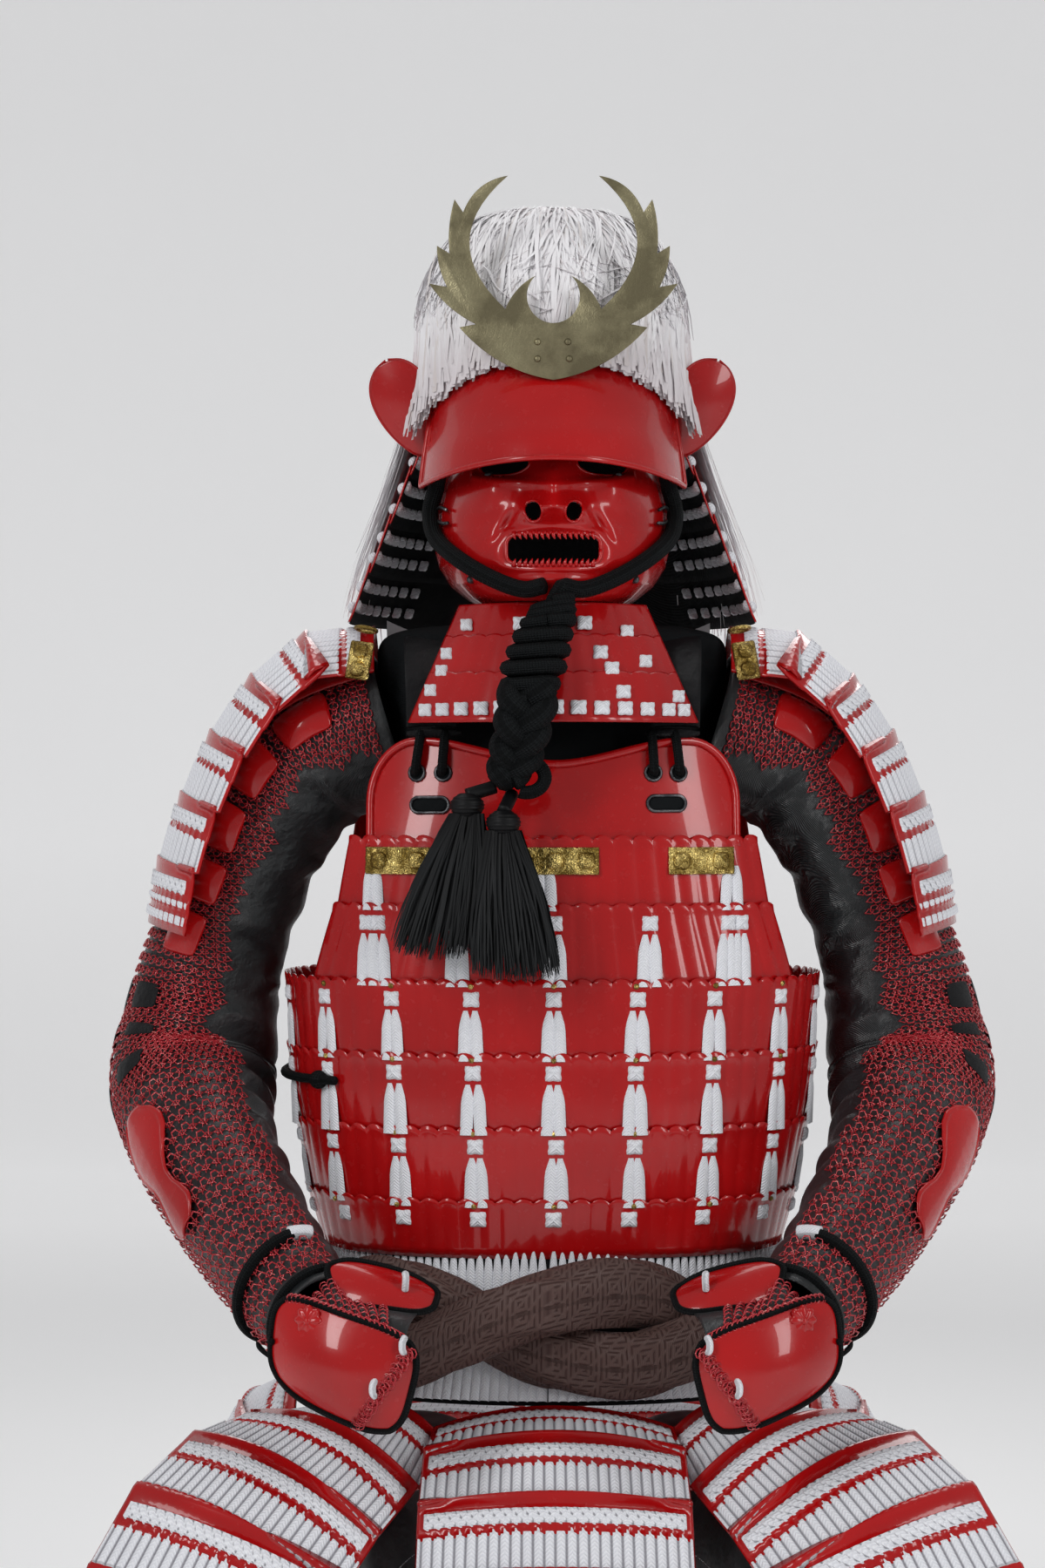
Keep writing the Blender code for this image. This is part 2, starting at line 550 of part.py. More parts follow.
def make_chin_cord():
    """The helmet cord: down both cheeks, wound and plaited under the chin, and ending in two tassels."""
    radius = 0.0062
    on_face = [(60, 0.132), (66, 0.118), (68, 0.100), (60, 0.080), (46, 0.063), (30, 0.048), (15, 0.039)]
    route = [face_point(angle, z, radius + 0.0020) for angle, z in on_face]
    route[0] = face_point(*on_face[0], radius + 0.0064)
    line = through([*route, (0.0070, -0.1296, 0.0410)], 14)
    solid_tube("chin_strap_left", BLACK_CLOTH, line, radius)
    solid_tube("chin_strap_right", BLACK_CLOTH, line * [-1, 1, 1], radius)

    knot = {
        "x": [0.000, -0.003, -0.011, -0.017, -0.022, -0.028, -0.036],
        "y": [-0.1290, -0.1350, -0.1470, -0.1600, -0.1680, -0.1570, -0.1500],
        "z": [0.0320, 0.0190, -0.0050, -0.0330, -0.0600, -0.0850, -0.1020],
        "radius": [0.0090, 0.0200, 0.0250, 0.0235, 0.0220, 0.0200, 0.0130],
    }
    rows = through(np.column_stack(list(knot.values())), 13)
    solid_tube("chin_knot", BLACK_CLOTH, rows[:, :3], rows[:, 3], 12, 0.72)

    tassels = {
        "right": {"head": (-0.0620, -0.1545, -0.1220), "foot": (-0.0830, -0.1560, -0.2270), "spread": 0.035},
        "left": {"head": (-0.0360, -0.1690, -0.1340), "foot": (-0.0260, -0.1780, -0.2420), "spread": 0.031},
    }
    tassels["right"]["start"] = (-0.0060, 0.0, -0.0020)
    tassels["left"]["start"] = (0.0060, -0.0010, -0.0073)
    knot_foot = rows[-1, :3]
    for side, size in tassels.items():
        head = np.array(size["head"])
        start = knot_foot + size["start"]
        make_tassel(f"tassel_{side}", head, np.array(size["foot"]), size["spread"], start)


def make_tassel(name, head, foot, spread, start):
    """A short tail from start, a bound head, and separate four-sided locks rooted in the head's underside."""
    across, deep = 8, 3
    root = (0.0120, 0.0080)
    work = bmesh.new()
    bmesh.ops.create_grid(work, x_segments=across, y_segments=deep, size=1.0)
    under = list(work.faces)
    bmesh.ops.scale(work, vec=(*root, 1), verts=work.verts)
    grown = bmesh.ops.extrude_face_region(work, geom=under, use_keep_orig=True)
    top = [v for v in grown["geom"] if isinstance(v, bmesh.types.BMVert)]
    bmesh.ops.translate(work, vec=(0, 0, 0.010), verts=top)
    bmesh.ops.scale(work, vec=(0.62, 0.72, 1), verts=top)
    tail_foot, tail_top = np.array([0.0, 0.0, 0.0154]), start - head
    for place, narrow in ((tail_foot, (0.60, 0.78)), (tail_top, (1.0, 1.0))):
        ends = [face for face in work.faces if all(vert in top for vert in face.verts)]
        grown = bmesh.ops.extrude_face_region(work, geom=ends)
        bmesh.ops.delete(work, geom=ends, context="FACES")
        top = [v for v in grown["geom"] if isinstance(v, bmesh.types.BMVert)]
        bmesh.ops.scale(work, vec=(*narrow, 1), verts=top)
        shift = place - (0 if place is tail_foot else tail_foot)
        bmesh.ops.translate(work, vec=(shift[0], shift[1], place[2] - top[0].co.z), verts=top)
    bmesh.ops.inset_individual(work, faces=under, thickness=0.00035)
    for face in bmesh.ops.extrude_discrete_faces(work, faces=under)["faces"]:
        middle = face.calc_center_median()
        u = middle.x / root[0]
        fall = (head[2] - foot[2]) * (1.0 - 0.06 * u**2)
        for vert in face.verts:
            vert.co.x = u * spread + (vert.co.x - middle.x) * 1.9
            vert.co.z = -fall
    bmesh.ops.recalc_face_normals(work, faces=work.faces)
    lean = (foot - head) / (head[2] - foot[2])
    for vert in work.verts:
        drop = max(0.0, -vert.co.z)
        vert.co.x += head[0] + lean[0] * drop
        vert.co.y += head[1] + lean[1] * drop
        vert.co.z += head[2]
    mesh = bpy.data.meshes.new(name)
    work.to_mesh(mesh)
    work.free()
    mesh.materials.append(BLACK_CLOTH)
    SUIT.objects.link(bpy.data.objects.new(name, mesh))


def laced_panel(line, facing, half_width, droop, pitch, columns=8):
    """Plates a pitch apart down a line, with the laces between them tucked under each plate's upper edge."""
    spans = round(np.linalg.norm(np.diff(line, axis=0), axis=1).sum() / pitch)
    dense = evenly_spaced(through(np.column_stack([line, facing, half_width]), 60), spans + 1)
    rows, steps = [], []
    for number in range(spans):
        first, second = dense[number], dense[number + 1]
        rows += [first, first + (second - first) * (1 - LIP / pitch)]
        steps += [PANEL_STEP, 0.0008]
    rows.append(dense[-1])
    steps.append(0.0008)
    rows, steps = np.array(rows), np.array(steps)
    centre, normal, half = rows[:, :3], unit(rows[:, 3:6]), rows[:, 6]
    along = unit(np.gradient(centre, axis=0))
    normal = unit(normal - (normal * along).sum(1, keepdims=True) * along)
    across = np.cross(normal, along)
    spread = np.linspace(-1, 1, columns)
    flat = centre[:, None] + (half[:, None] * spread)[..., None] * across[:, None]
    flat = flat - (droop * spread**2)[None, :, None] * normal[:, None]
    outer = flat + steps[:, None, None] * normal[:, None]
    inner = flat - PANEL_WALL * normal[:, None]
    return outer, inner


def make_shoulder_guards():
    rows = {
        "x": [-0.134, -0.160, -0.186, -0.210, -0.234, -0.255, -0.273, -0.289, -0.301, -0.306],
        "z": [0.013, 0.014, 0.010, -0.007, -0.031, -0.062, -0.098, -0.141, -0.180, -0.207],
        "half": [0.062, 0.070, 0.078, 0.082, 0.084, 0.086, 0.087, 0.088, 0.088, 0.088],
    }
    x, z, half = (np.array(v) for v in rows.values())
    line = np.column_stack([x, np.full_like(x, 0.004), z])
    along = unit(np.gradient(line, axis=0))
    facing = np.column_stack([along[:, 2], np.zeros_like(x), -along[:, 0]])
    outer, inner = laced_panel(line, facing, half, 0.036, SHOULDER_PITCH, 6)
    wall_between("shoulder_guard_right", LACING, outer, inner)
    wall_between("shoulder_guard_left", LACING, mirrored(outer), mirrored(inner))


SKIRT = {
    "skirt_front": {
        "line": [(0, -0.1585, -0.5499), (0, -0.203, -0.5540), (0, -0.245, -0.5800), (0, -0.279, -0.6270),
                 (0, -0.303, -0.6800), (0, -0.320, -0.7360)],
        "facing": [(0, -0.25, 1), (0, -0.45, 1), (0, -1, 1), (0, -1, 0.55), (0, -1, 0.35), (0, -1, 0.2)],
        "half": [0.086, 0.091, 0.094, 0.096, 0.097, 0.098],
        "droop": 0.016,
    },
    "skirt_front_right": {
        "line": [(-0.1235, -0.1275, -0.5490), (-0.158, -0.188, -0.5600), (-0.192, -0.240, -0.5800),
                 (-0.219, -0.278, -0.6110), (-0.240, -0.303, -0.6560), (-0.255, -0.318, -0.7080)],
        "facing": [(-0.1, -0.40, 1), (0.1, -0.47, 0.9), (0.2, -0.50, 0.85), (0.1, -0.75, 0.75),
                   (-0.05, -1, 0.45), (-0.1, -1, 0.25)],
        "half": [0.050, 0.074, 0.079, 0.083, 0.086, 0.088],
        "droop": 0.020,
    },
    "skirt_side_right": {
        "line": [(-0.1825, 0.020, -0.5486), (-0.232, 0.036, -0.5730), (-0.262, 0.040, -0.6200),
                 (-0.280, 0.044, -0.6730), (-0.292, 0.048, -0.7280)],
        "facing": [(-0.5, 0.1, 1), (-1, 0.1, 0.8), (-1, 0.1, 0.45), (-1, 0.1, 0.3), (-1, 0.1, 0.2)],
        "half": [0.060, 0.070, 0.078, 0.082, 0.085],
        "droop": 0.022,
    },
    "skirt_back_right": {
        "line": [(-0.076, 0.1500, -0.5466), (-0.092, 0.188, -0.5980), (-0.099, 0.206, -0.6500),
                 (-0.104, 0.218, -0.7050), (-0.107, 0.226, -0.7600)],
        "facing": [(-0.35, 1, 0.6), (-0.35, 1, 0.4), (-0.3, 1, 0.3), (-0.3, 1, 0.2), (-0.3, 1, 0.2)],
        "half": [0.064, 0.072, 0.078, 0.082, 0.084],
        "droop": 0.016,
    },
}


def make_skirt():
    """Seven hanging panels: one at the front, two over the thighs, two at the sides and two behind."""
    for name, panel in SKIRT.items():
        line, facing, half = (np.array(panel[key], float) for key in ("line", "facing", "half"))
        outer, inner = laced_panel(line, unit(facing), half, panel["droop"], SKIRT_PITCH, 5)
        wall_between(name, LACING, outer, inner)
        if name.endswith("_right"):
            wall_between(name.replace("_right", "_left"), LACING, mirrored(outer), mirrored(inner))


def waist_half_widths(z):
    """The laces between the cuirass and the skirt flare towards the front: half width, front and back depth."""
    heights = [-0.5450, -0.5000, CUIRASS_BOTTOM - SEAM]
    return (
        np.interp(z, heights, [0.184, 0.170, 0.1715]),
        np.interp(z, heights, [0.160, 0.140, 0.1335]),
        np.interp(z, heights, [0.160, 0.142, 0.1335]),
    )


def waist_point(angles, z, out=0.0):
    angles, z, out = np.broadcast_arrays(angles, z, out)
    width, front, back = waist_half_widths(z)
    depth = np.where(np.cos(np.radians(angles)) > 0, front, back)
    x, y = superellipse(angles, width + out, depth + out, 2.3)
    return np.stack([x, y, z], axis=-1)


def make_waist():
    angles = np.linspace(0, 360, 32, endpoint=False)[None]
    z = np.array([CUIRASS_BOTTOM - SEAM, -0.5000, -0.5450])[:, None]
    sheet("waist_laces", LACING, waist_point(angles, z), 0.003, True)

    stations = np.linspace(0, 360, 40, endpoint=False)
    turn = np.linspace(0, 2 * math.pi, 7, endpoint=False)
    size = 0.66 + 0.34 * np.clip(np.cos(np.radians(stations * 0.9)), 0, 1)
    size = np.maximum(size, size[(-np.arange(len(stations))) % len(stations)])
    middle = 0.0035 + 2 * SASH_RADIAL + 0.0013
    core = waist_point(stations, SASH_Z, middle * size)
    outwards = unit(core * [1, 1, 0])
    for name, phase in (("sash_strand_1", 0.0), ("sash_strand_2", math.pi)):
        twist = np.radians(stations) * SASH_TURNS + phase + 0.9
        apart = 1.045
        radial = (SASH_RADIAL * apart * np.cos(twist) * size)[:, None] + (SASH_RADIAL * size)[:, None] * np.cos(turn)
        height = (SASH_HEIGHT * apart * np.sin(twist) * size)[:, None] + (SASH_HEIGHT * size)[:, None] * np.sin(turn)
        grid = core[:, None] + radial[..., None] * outwards[:, None]
        grid[..., 2] += height
        index = np.arange(grid.shape[0] * grid.shape[1]).reshape(grid.shape[:2])
        ahead, beside = np.roll(index, -1, axis=0), np.roll(index, -1, axis=1)
        both = np.roll(ahead, -1, axis=1)
        faces = np.stack([index, ahead, both, beside], axis=-1).reshape(-1, 4)
        add_mesh(name, SASH_CLOTH, grid.reshape(-1, 3), faces)


def sleeve_grid(count, sides, out=0.0):
    rows = evenly_spaced(through(ARM_ROWS, 80), count)
    return tube_grid(rows[:, :3], rows[:, 3] + out, rows[:, 4] + out, sides)


def sleeve_patch(down, turns, out):
    """Points on the sleeve, moved out: shares of its length by degrees round it from the front."""
    rows = evenly_spaced(through(ARM_ROWS, 80), 161)
    whole = tube_grid(rows[:, :3], rows[:, 3] + out, rows[:, 4] + out, 72)
    v = np.rint(np.asarray(down) * 160).astype(int)
    u = np.rint(np.asarray(turns) / 5.0).astype(int) % 72
    return whole[v, u]


def make_sleeves():
    walls = np.stack([sleeve_grid(SLEEVE_RINGS, 12), sleeve_grid(SLEEVE_RINGS, 12, -CLOTH)])
    lower = walls[:, ELBOW_RING:].copy()
    lower[:, 0] += 2 * SEAM * unit(lower[0, 1] - lower[0, 0])
    for name, (outer, inner) in (("upper_sleeve", walls[:, :ELBOW_RING + 1]), ("lower_sleeve", lower)):
        wall_between(f"{name}_right", BLACK_CLOTH, outer, inner, True)
        wall_between(f"{name}_left", BLACK_CLOTH, mirrored(outer), mirrored(inner), True)
    rows = {
        "z": [0.008, -0.001, -0.010, -0.050, -0.100, -0.150],
        "half_width": [0.058, 0.095, 0.120, 0.120, 0.1156, 0.112],
        "half_depth": [0.055, 0.060, 0.064, 0.078, 0.092, 0.096],
    }
    angles = np.linspace(0, 360, 18, endpoint=False)
    yoke = []
    for z, width, depth in zip(*rows.values()):
        x, y = superellipse(angles, width, depth, 2.4)
        yoke.append(np.stack([x, y, np.full_like(x, z)], axis=-1))
    sheet("yoke", BLACK_CLOTH, np.array(yoke), CLOTH, True)

    length = np.linspace(0.600, 0.785, 10)
    half_turn = np.array([8, 24, 30, 28, 20, 14, 16, 22, 24, 10])
    middle = -40
    turns = middle + half_turn[:, None] * np.linspace(-1, 1, 6)[None]
    gourd = sleeve_patch(length[:, None] + 0 * turns, turns, 0.0038)
    sheet("forearm_plate_right", LACQUER, gourd, 0.0030)
    sheet("forearm_plate_left", LACQUER, mirrored(gourd), 0.0030)


def patch(corners, bulge, rows, columns, round_off):
    """A domed plate between four corners, top left, top right, bottom left and bottom right, with eased corners."""
    a, b, c, d = (np.asarray(corner, float) for corner in corners)
    v = np.linspace(-1, 1, rows)[:, None]
    u = np.linspace(-1, 1, columns)[None]
    u_in = u * (1 - round_off * v**4)
    v_in = v * (1 - round_off * u**4)
    s, t = ((u_in + 1) / 2)[..., None], ((v_in + 1) / 2)[..., None]
    flat = (a * (1 - s) + b * s) * (1 - t) + (c * (1 - s) + d * s) * t
    normal = unit(np.cross(c - a, b - a))
    return flat + (bulge * (1 - u**2) * (1 - v**2 * 0.6))[..., None] * normal


def make_hand_guards():
    hand = patch(
        [(-0.190, -0.2761, -0.444), (-0.088, -0.316, -0.474), (-0.196, -0.2731, -0.508), (-0.106, -0.308, -0.545)],
        0.020, 7, 7, 0.16,
    )
    thumb = patch(
        [(-0.166, -0.256, -0.4310), (-0.086, -0.256, -0.440), (-0.142, -0.292, -0.4400), (-0.082, -0.290, -0.448)],
        0.008, 4, 6, 0.22,
    )
    for name, grid in (("hand_plate", hand), ("thumb_plate", thumb)):
        sheet(f"{name}_right", LACQUER, grid, 0.003)
        sheet(f"{name}_left", LACQUER, mirrored(grid), 0.003)


def make_thigh_apron():
    """Cloth over both thighs from one waistband, split between the legs."""
    rows = {
        "y": [0.020, -0.070, -0.150, -0.225, -0.271, -0.2962, -0.3082],
        "x": [0.105, 0.135, 0.170, 0.203, 0.217, 0.223, 0.228],
        "z": [-0.664, -0.671, -0.679, -0.694, -0.721, -0.757, -0.800],
        "half": [0.085, 0.090, 0.093, 0.095, 0.092, 0.090, 0.088],
    }
    turns = np.linspace(-100, 100, 11)
    grid = []
    for y, x, z, half in zip(*rows.values()):
        across = -x + half * np.sin(np.radians(turns))
        height = z + half * np.cos(np.radians(turns))
        hang = np.where(np.abs(turns) > 80, -0.055, 0.0)
        grid.append(np.stack([across, np.full_like(across, y), height + hang], axis=-1))
    leg = np.array(grid)
    sheet("thigh_apron_right", BLACK_CLOTH, leg, CLOTH)
    sheet("thigh_apron_left", BLACK_CLOTH, mirrored(leg), CLOTH)


make_bowl()
make_brow()
make_crest()
make_turnbacks()
make_neck_guard()
make_hair()
make_mask()
make_throat_guard()
make_chin_cord()
make_cuirass()
make_fittings()
make_shoulder_straps()
make_shoulder_guards()
make_sleeves()
make_hand_guards()
make_waist()
make_skirt()
make_thigh_apron()
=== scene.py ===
# %% [markdown]
# # Samurai armour: the visual model
# The frame holds the armour's plain solids. This script lays the camera, then puts finer surfaces over
# those solids: laced plates, mail, hair, silk cords and cloth. Most cells print what they made.

# %% Frame and camera
import math

import bpy
import numpy as np
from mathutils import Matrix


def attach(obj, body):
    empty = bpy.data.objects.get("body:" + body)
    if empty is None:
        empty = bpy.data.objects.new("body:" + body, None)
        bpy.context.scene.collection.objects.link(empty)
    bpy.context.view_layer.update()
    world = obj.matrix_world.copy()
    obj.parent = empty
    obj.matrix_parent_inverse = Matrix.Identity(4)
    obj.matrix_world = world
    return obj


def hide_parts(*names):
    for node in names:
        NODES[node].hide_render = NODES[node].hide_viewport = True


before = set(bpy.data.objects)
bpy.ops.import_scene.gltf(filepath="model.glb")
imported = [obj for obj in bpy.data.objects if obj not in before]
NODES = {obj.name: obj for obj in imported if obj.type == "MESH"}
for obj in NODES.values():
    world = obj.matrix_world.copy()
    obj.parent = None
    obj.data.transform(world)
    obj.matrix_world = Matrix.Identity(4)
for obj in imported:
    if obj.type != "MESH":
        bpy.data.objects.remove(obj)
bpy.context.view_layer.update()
scene = bpy.context.scene

# %% [markdown]
# ## Camera
# The photo was taken level, from the front, with a long lens: the sides of the cuirass show little
# perspective. At 2.7 m, 1.188 m of height at the shoulders fills the frame, which gives the lens from the
# sensor's longer side.

# %% Camera
EYE = (-0.0224, -2.7, -0.102)
VIEW_HEIGHT = 1.188
lens_data = bpy.data.cameras.new("camera")
lens_data.sensor_fit = "VERTICAL"
lens_data.sensor_height = 36.0
lens_data.lens = 36.0 * -EYE[1] / VIEW_HEIGHT
camera = bpy.data.objects.new("camera", lens_data)
camera.location = EYE
camera.rotation_euler = (math.radians(90), 0, 0)
scene.collection.objects.link(camera)
scene.camera = camera
scene.view_settings.view_transform = "Standard"
print("camera: lens", round(lens_data.lens, 1), "mm")

# %% [markdown]
# ## Light
# The photo has soft light from the front and both sides over a pale ground. Big area lights give long
# soft highlights on the lacquer, and an even world colour fills the shadows.


# %% Light
def area_light(name, place, aim, size, power):
    """A soft rectangular light at a place, turned towards its aim."""
    data = bpy.data.lights.new(name, "AREA")
    data.shape = "RECTANGLE"
    data.size, data.size_y = size
    data.energy = power
    made = bpy.data.objects.new(name, data)
    made.location = place
    way = np.subtract(place, aim)
    flat = math.hypot(way[0], way[1])
    made.rotation_euler = (math.atan2(flat, way[2]), 0, math.atan2(way[1], way[0]) + math.pi / 2)
    scene.collection.objects.link(made)


area_light("key", (-1.7, -2.2, 1.2), (0, 0, -0.1), (0.6, 1.9), 34)
area_light("fill", (1.9, -2.0, 0.7), (0, 0, -0.2), (0.6, 1.9), 25)
area_light("top", (0.0, 1.0, 2.3), (0, 0, 0), (2.2, 0.9), 20)
area_light("back", (0.3, 2.4, 1.3), (0, 0, 0), (1.6, 1.2), 16)
world = bpy.data.worlds.new("studio")
scene.world = world
world.use_nodes = True
world.node_tree.nodes["Background"].inputs["Color"].default_value = (0.88, 0.88, 0.885, 1)
world.node_tree.nodes["Background"].inputs["Strength"].default_value = 0.37

# %% [markdown]
# ## Shader maths as Python
# A `Wire` holds one shader socket. Its operators add Math nodes, so a mask can be written as `(noise -
# 0.4) * 3`. `node` adds any other node: its type, its settings, then its inputs in order, with None for
# one to leave alone.


# %% Shader maths
class Wire:
    """One output socket that works in Python expressions."""

    def __init__(self, tree, socket):
        self.tree, self.socket = tree, socket

    def node(self, kind, settings, *inputs, out=0):
        """The chosen output of a new node with these settings and inputs."""
        made = self.tree.nodes.new("ShaderNode" + kind)
        for key, value in settings.items():
            setattr(made, key, value)
        for slot, value in zip(made.inputs, inputs):
            plug(self.tree, slot, value)
        return Wire(self.tree, made.outputs[out])

    def math(self, operation, *values, clamp=False):
        """A Math node on these values."""
        return self.node("Math", {"operation": operation, "use_clamp": clamp}, *values)

    def __add__(self, other):
        return self.math("ADD", self, other)

    def __radd__(self, other):
        return self.math("ADD", other, self)

    def __sub__(self, other):
        return self.math("SUBTRACT", self, other)

    def __rsub__(self, other):
        return self.math("SUBTRACT", other, self)

    def __mul__(self, other):
        return self.math("MULTIPLY", self, other)

    def __rmul__(self, other):
        return self.math("MULTIPLY", other, self)

    def wave(self):
        """The sine of this value."""
        return self.math("SINE", self)

    def zigzag(self, size):
        """Runs from 0 up to size and back down, again and again."""
        return self.math("PINGPONG", self, size)

    def clip(self):
        """This value held between 0 and 1."""
        return self.math("ADD", self, 0.0, clamp=True)


def plug(tree, slot, value):
    """Gives an input a wire or a fixed value."""
    if value is None:
        return
    if isinstance(value, Wire):
        tree.links.new(value.socket, slot)
    elif isinstance(value, tuple) and len(value) == 3 and slot.type == "RGBA":
        slot.default_value = (*value, 1.0)
    else:
        slot.default_value = value


class Finish:
    """A material being written: its places, its patterns and its shader."""

    def __init__(self, name, **constants):
        self.made = bpy.data.materials.new(name)
        self.made.use_nodes = True
        self.tree = self.made.node_tree
        self.shader = self.tree.nodes["Principled BSDF"]
        for key, value in constants.items():
            self.shader.inputs[key.replace("_", " ")].default_value = value
        coordinates = self.tree.nodes.new("ShaderNodeTexCoord")
        self.place = Wire(self.tree, coordinates.outputs["Object"])
        self.uv = Wire(self.tree, coordinates.outputs["UV"])

    def noise(self, scale, detail=3.0):
        """Noise from 0 to 1 at a scale in features a metre."""
        return self.place.node("TexNoise", {}, self.place, None, scale, detail, 0.55)

    def axes(self, where):
        """The x, y and z of a place."""
        return [where.node("SeparateXYZ", {}, where, out=k) for k in range(3)]

    def mix(self, share, first, second):
        """From the first colour to the second by a share."""
        made = self.tree.nodes.new("ShaderNodeMix")
        made.data_type = "RGBA"
        plug(self.tree, made.inputs[0], share)
        plug(self.tree, made.inputs[6], first)
        plug(self.tree, made.inputs[7], second)
        return Wire(self.tree, made.outputs[2])

    def set(self, **inputs):
        """Plugs wires or values into the shader's inputs."""
        for key, value in inputs.items():
            plug(self.tree, self.shader.inputs[key.replace("_", " ")], value)

    def bump(self, height, distance, strength=1.0):
        """Raises the surface by a height that is only shaded."""
        made = self.tree.nodes.new("ShaderNodeBump")
        for key, value in (("Strength", strength), ("Distance", distance), ("Height", height)):
            plug(self.tree, made.inputs[key], value)
        self.tree.links.new(made.outputs[0], self.shader.inputs["Normal"])
        return self

# %% [markdown]
# ## Finishes
# Each finish is a procedural material. Lacquer is a thick clear coat over red with dust and slow
# waviness. Silk laces are a herringbone bump along their own UV, where u runs across the lace and v along
# it, both in metres.


# %% Finishes
RED = (0.50, 0.004, 0.005)
DEEP_RED = (0.36, 0.003, 0.004)
WHITE = (0.86, 0.87, 0.91)


def lacquer_colour(finish):
    """Red that is a little deeper in slow patches, and greyer where dust lies."""
    slow = finish.noise(9.0)
    dust = ((finish.noise(160.0, 6.0) - 0.60) * 3.0).clip()
    red = finish.mix(((slow - 0.35) * 2.2).clip(), DEEP_RED, RED)
    return finish.mix(dust * 0.03, red, (0.62, 0.45, 0.42)), dust, slow


def silk_height(finish, pitch=0.0022):
    """Herringbone of a flat braid: slanting threads that change direction at its middle."""
    u, v, _ = finish.axes(finish.uv)
    threads = ((v + u.math("ABSOLUTE", u) * 0.9) * (2 * math.pi / pitch)).wave()
    return threads * 0.5 + 0.5


def silk_colour(finish, height):
    """White silk, soiled in patches, and greyer between its threads as painted shade."""
    soiled = ((finish.noise(38.0, 5.0) - 0.52) * 2.5).clip()
    white = finish.mix(soiled * 0.35, WHITE, (0.66, 0.66, 0.72))
    # Greyer between the threads: painted shade in the braid's hollows.
    return finish.mix((1.0 - height) * 0.30, white, (0.50, 0.50, 0.57))


def make_lacquer():
    """Red lacquer under a thick clear coat with slow waves."""
    finish = Finish("lacquer", Coat_Weight=0.55, Coat_Roughness=0.04, Specular_IOR_Level=0.25)
    colour, dust, slow = lacquer_colour(finish)
    finish.set(Base_Color=colour, Roughness=0.22 + dust * 0.3 + slow * 0.08)
    return finish.bump(finish.noise(26.0) + finish.noise(600.0) * 0.04, 0.0010, 0.30).made


def make_silk():
    """White silk braid with a soft sheen."""
    finish = Finish("white_silk", Sheen_Weight=0.3)
    height = silk_height(finish)
    finish.set(Base_Color=silk_colour(finish, height), Roughness=0.72 + height * 0.1)
    return finish.bump(height + finish.noise(900.0) * 0.4, 0.0005, 0.8).made


def make_laced():
    """Plate and laces in one finish. The UV holds the distance from each rib's middle and the way down
    the plate, and 'lace' says which part is silk."""
    finish = Finish("laced_plate", Specular_IOR_Level=0.25, Coat_Roughness=0.05)
    lace = finish.place.node("Attribute", {"attribute_name": "lace"}, out=2)
    silk = ((lace - 0.5) * 12.0 + 0.5).clip()
    height = silk_height(finish, 0.0030)
    u, _, _ = finish.axes(finish.uv)
    # The lace edges sink in the bump and turn dark grey: painted shade between the laces.
    groove_and_painted_shade = ((u - 0.0026) * 1100.0).clip()
    colour, dust, slow = lacquer_colour(finish)
    ribs = finish.mix(groove_and_painted_shade * 0.75, silk_colour(finish, height), (0.16, 0.15, 0.18))
    finish.set(Base_Color=finish.mix(silk, colour, ribs), Coat_Weight=(1.0 - silk) * 0.55)
    finish.set(Roughness=0.24 + silk * 0.5 + dust * 0.2)
    return finish.bump((height - groove_and_painted_shade * 3.0) * silk + slow * 0.6, 0.0005, 0.7).made


def make_cloth(name, first, second, rough, specular=0.15, pattern=None):
    """Black cloth: fine twill, slow creases and a scrolling figure, with painted sheen on figure and
    creases.
    """
    finish = Finish(name, Specular_IOR_Level=specular)
    x, y, z = finish.axes(finish.place)
    twill = ((x + y + z) * (2 * math.pi / 0.0011)).wave() * 0.5 + 0.5
    creases = finish.noise(20.0, 5.0) + finish.noise(70.0, 3.0) * 0.35
    figure = finish.place.node("TexVoronoi", {"feature": "SMOOTH_F1"}, finish.place, None, pattern or 60.0)
    # Painted sheen: the figure and the crease ridges take the lighter second colour.
    painted_sheen = ((figure - 0.35) * 6.0).clip() * 0.25 + creases * 0.4 if pattern else creases * 0.3
    finish.set(Base_Color=finish.mix(painted_sheen, first, second), Roughness=rough - painted_sheen * 0.22)
    return finish.bump(twill * 0.1 + creases * 2.4, 0.0040, 0.7).made


def make_cord():
    """Black plaited cord: two slanting waves that cross, painted lighter where they rise."""
    finish = Finish("black_cord", Specular_IOR_Level=0.12)
    u, v, _ = finish.axes(finish.uv)
    plait = ((u + v) * (2 * math.pi / 0.0036)).wave() * ((u - v) * (2 * math.pi / 0.0036)).wave()
    # Painted highlight on the raised strands, painted shade between them.
    raised = (plait * 0.5 + 0.5).clip()
    finish.set(Base_Color=finish.mix(raised, (0.003, 0.0035, 0.004), (0.012, 0.014, 0.015)))
    finish.set(Roughness=0.75 + plait * 0.08)
    return finish.bump(plait + finish.noise(1400.0), 0.0010, 0.9).made


def make_metal(name, dull, bright, roughness, scale, relief):
    """Metal with tarnish in its hollows; relief carves scrolls, as chased fittings have."""
    finish = Finish(name, Metallic=1.0)
    tarnish = finish.noise(scale, 6.0)
    cells = finish.place.node("TexVoronoi", {"feature": "F1"}, finish.place, None, 330.0)
    rings = (cells * 14.0).wave() * 0.5 + 0.5
    worn = ((tarnish - 0.42) * 3.0 + rings * relief - relief * 0.6).clip()
    finish.set(Base_Color=finish.mix(worn, dull, bright), Roughness=roughness + (1.0 - worn) * 0.25)
    return finish.bump(tarnish * 0.5 + rings * relief * 2.0, 0.0007, 0.8).made


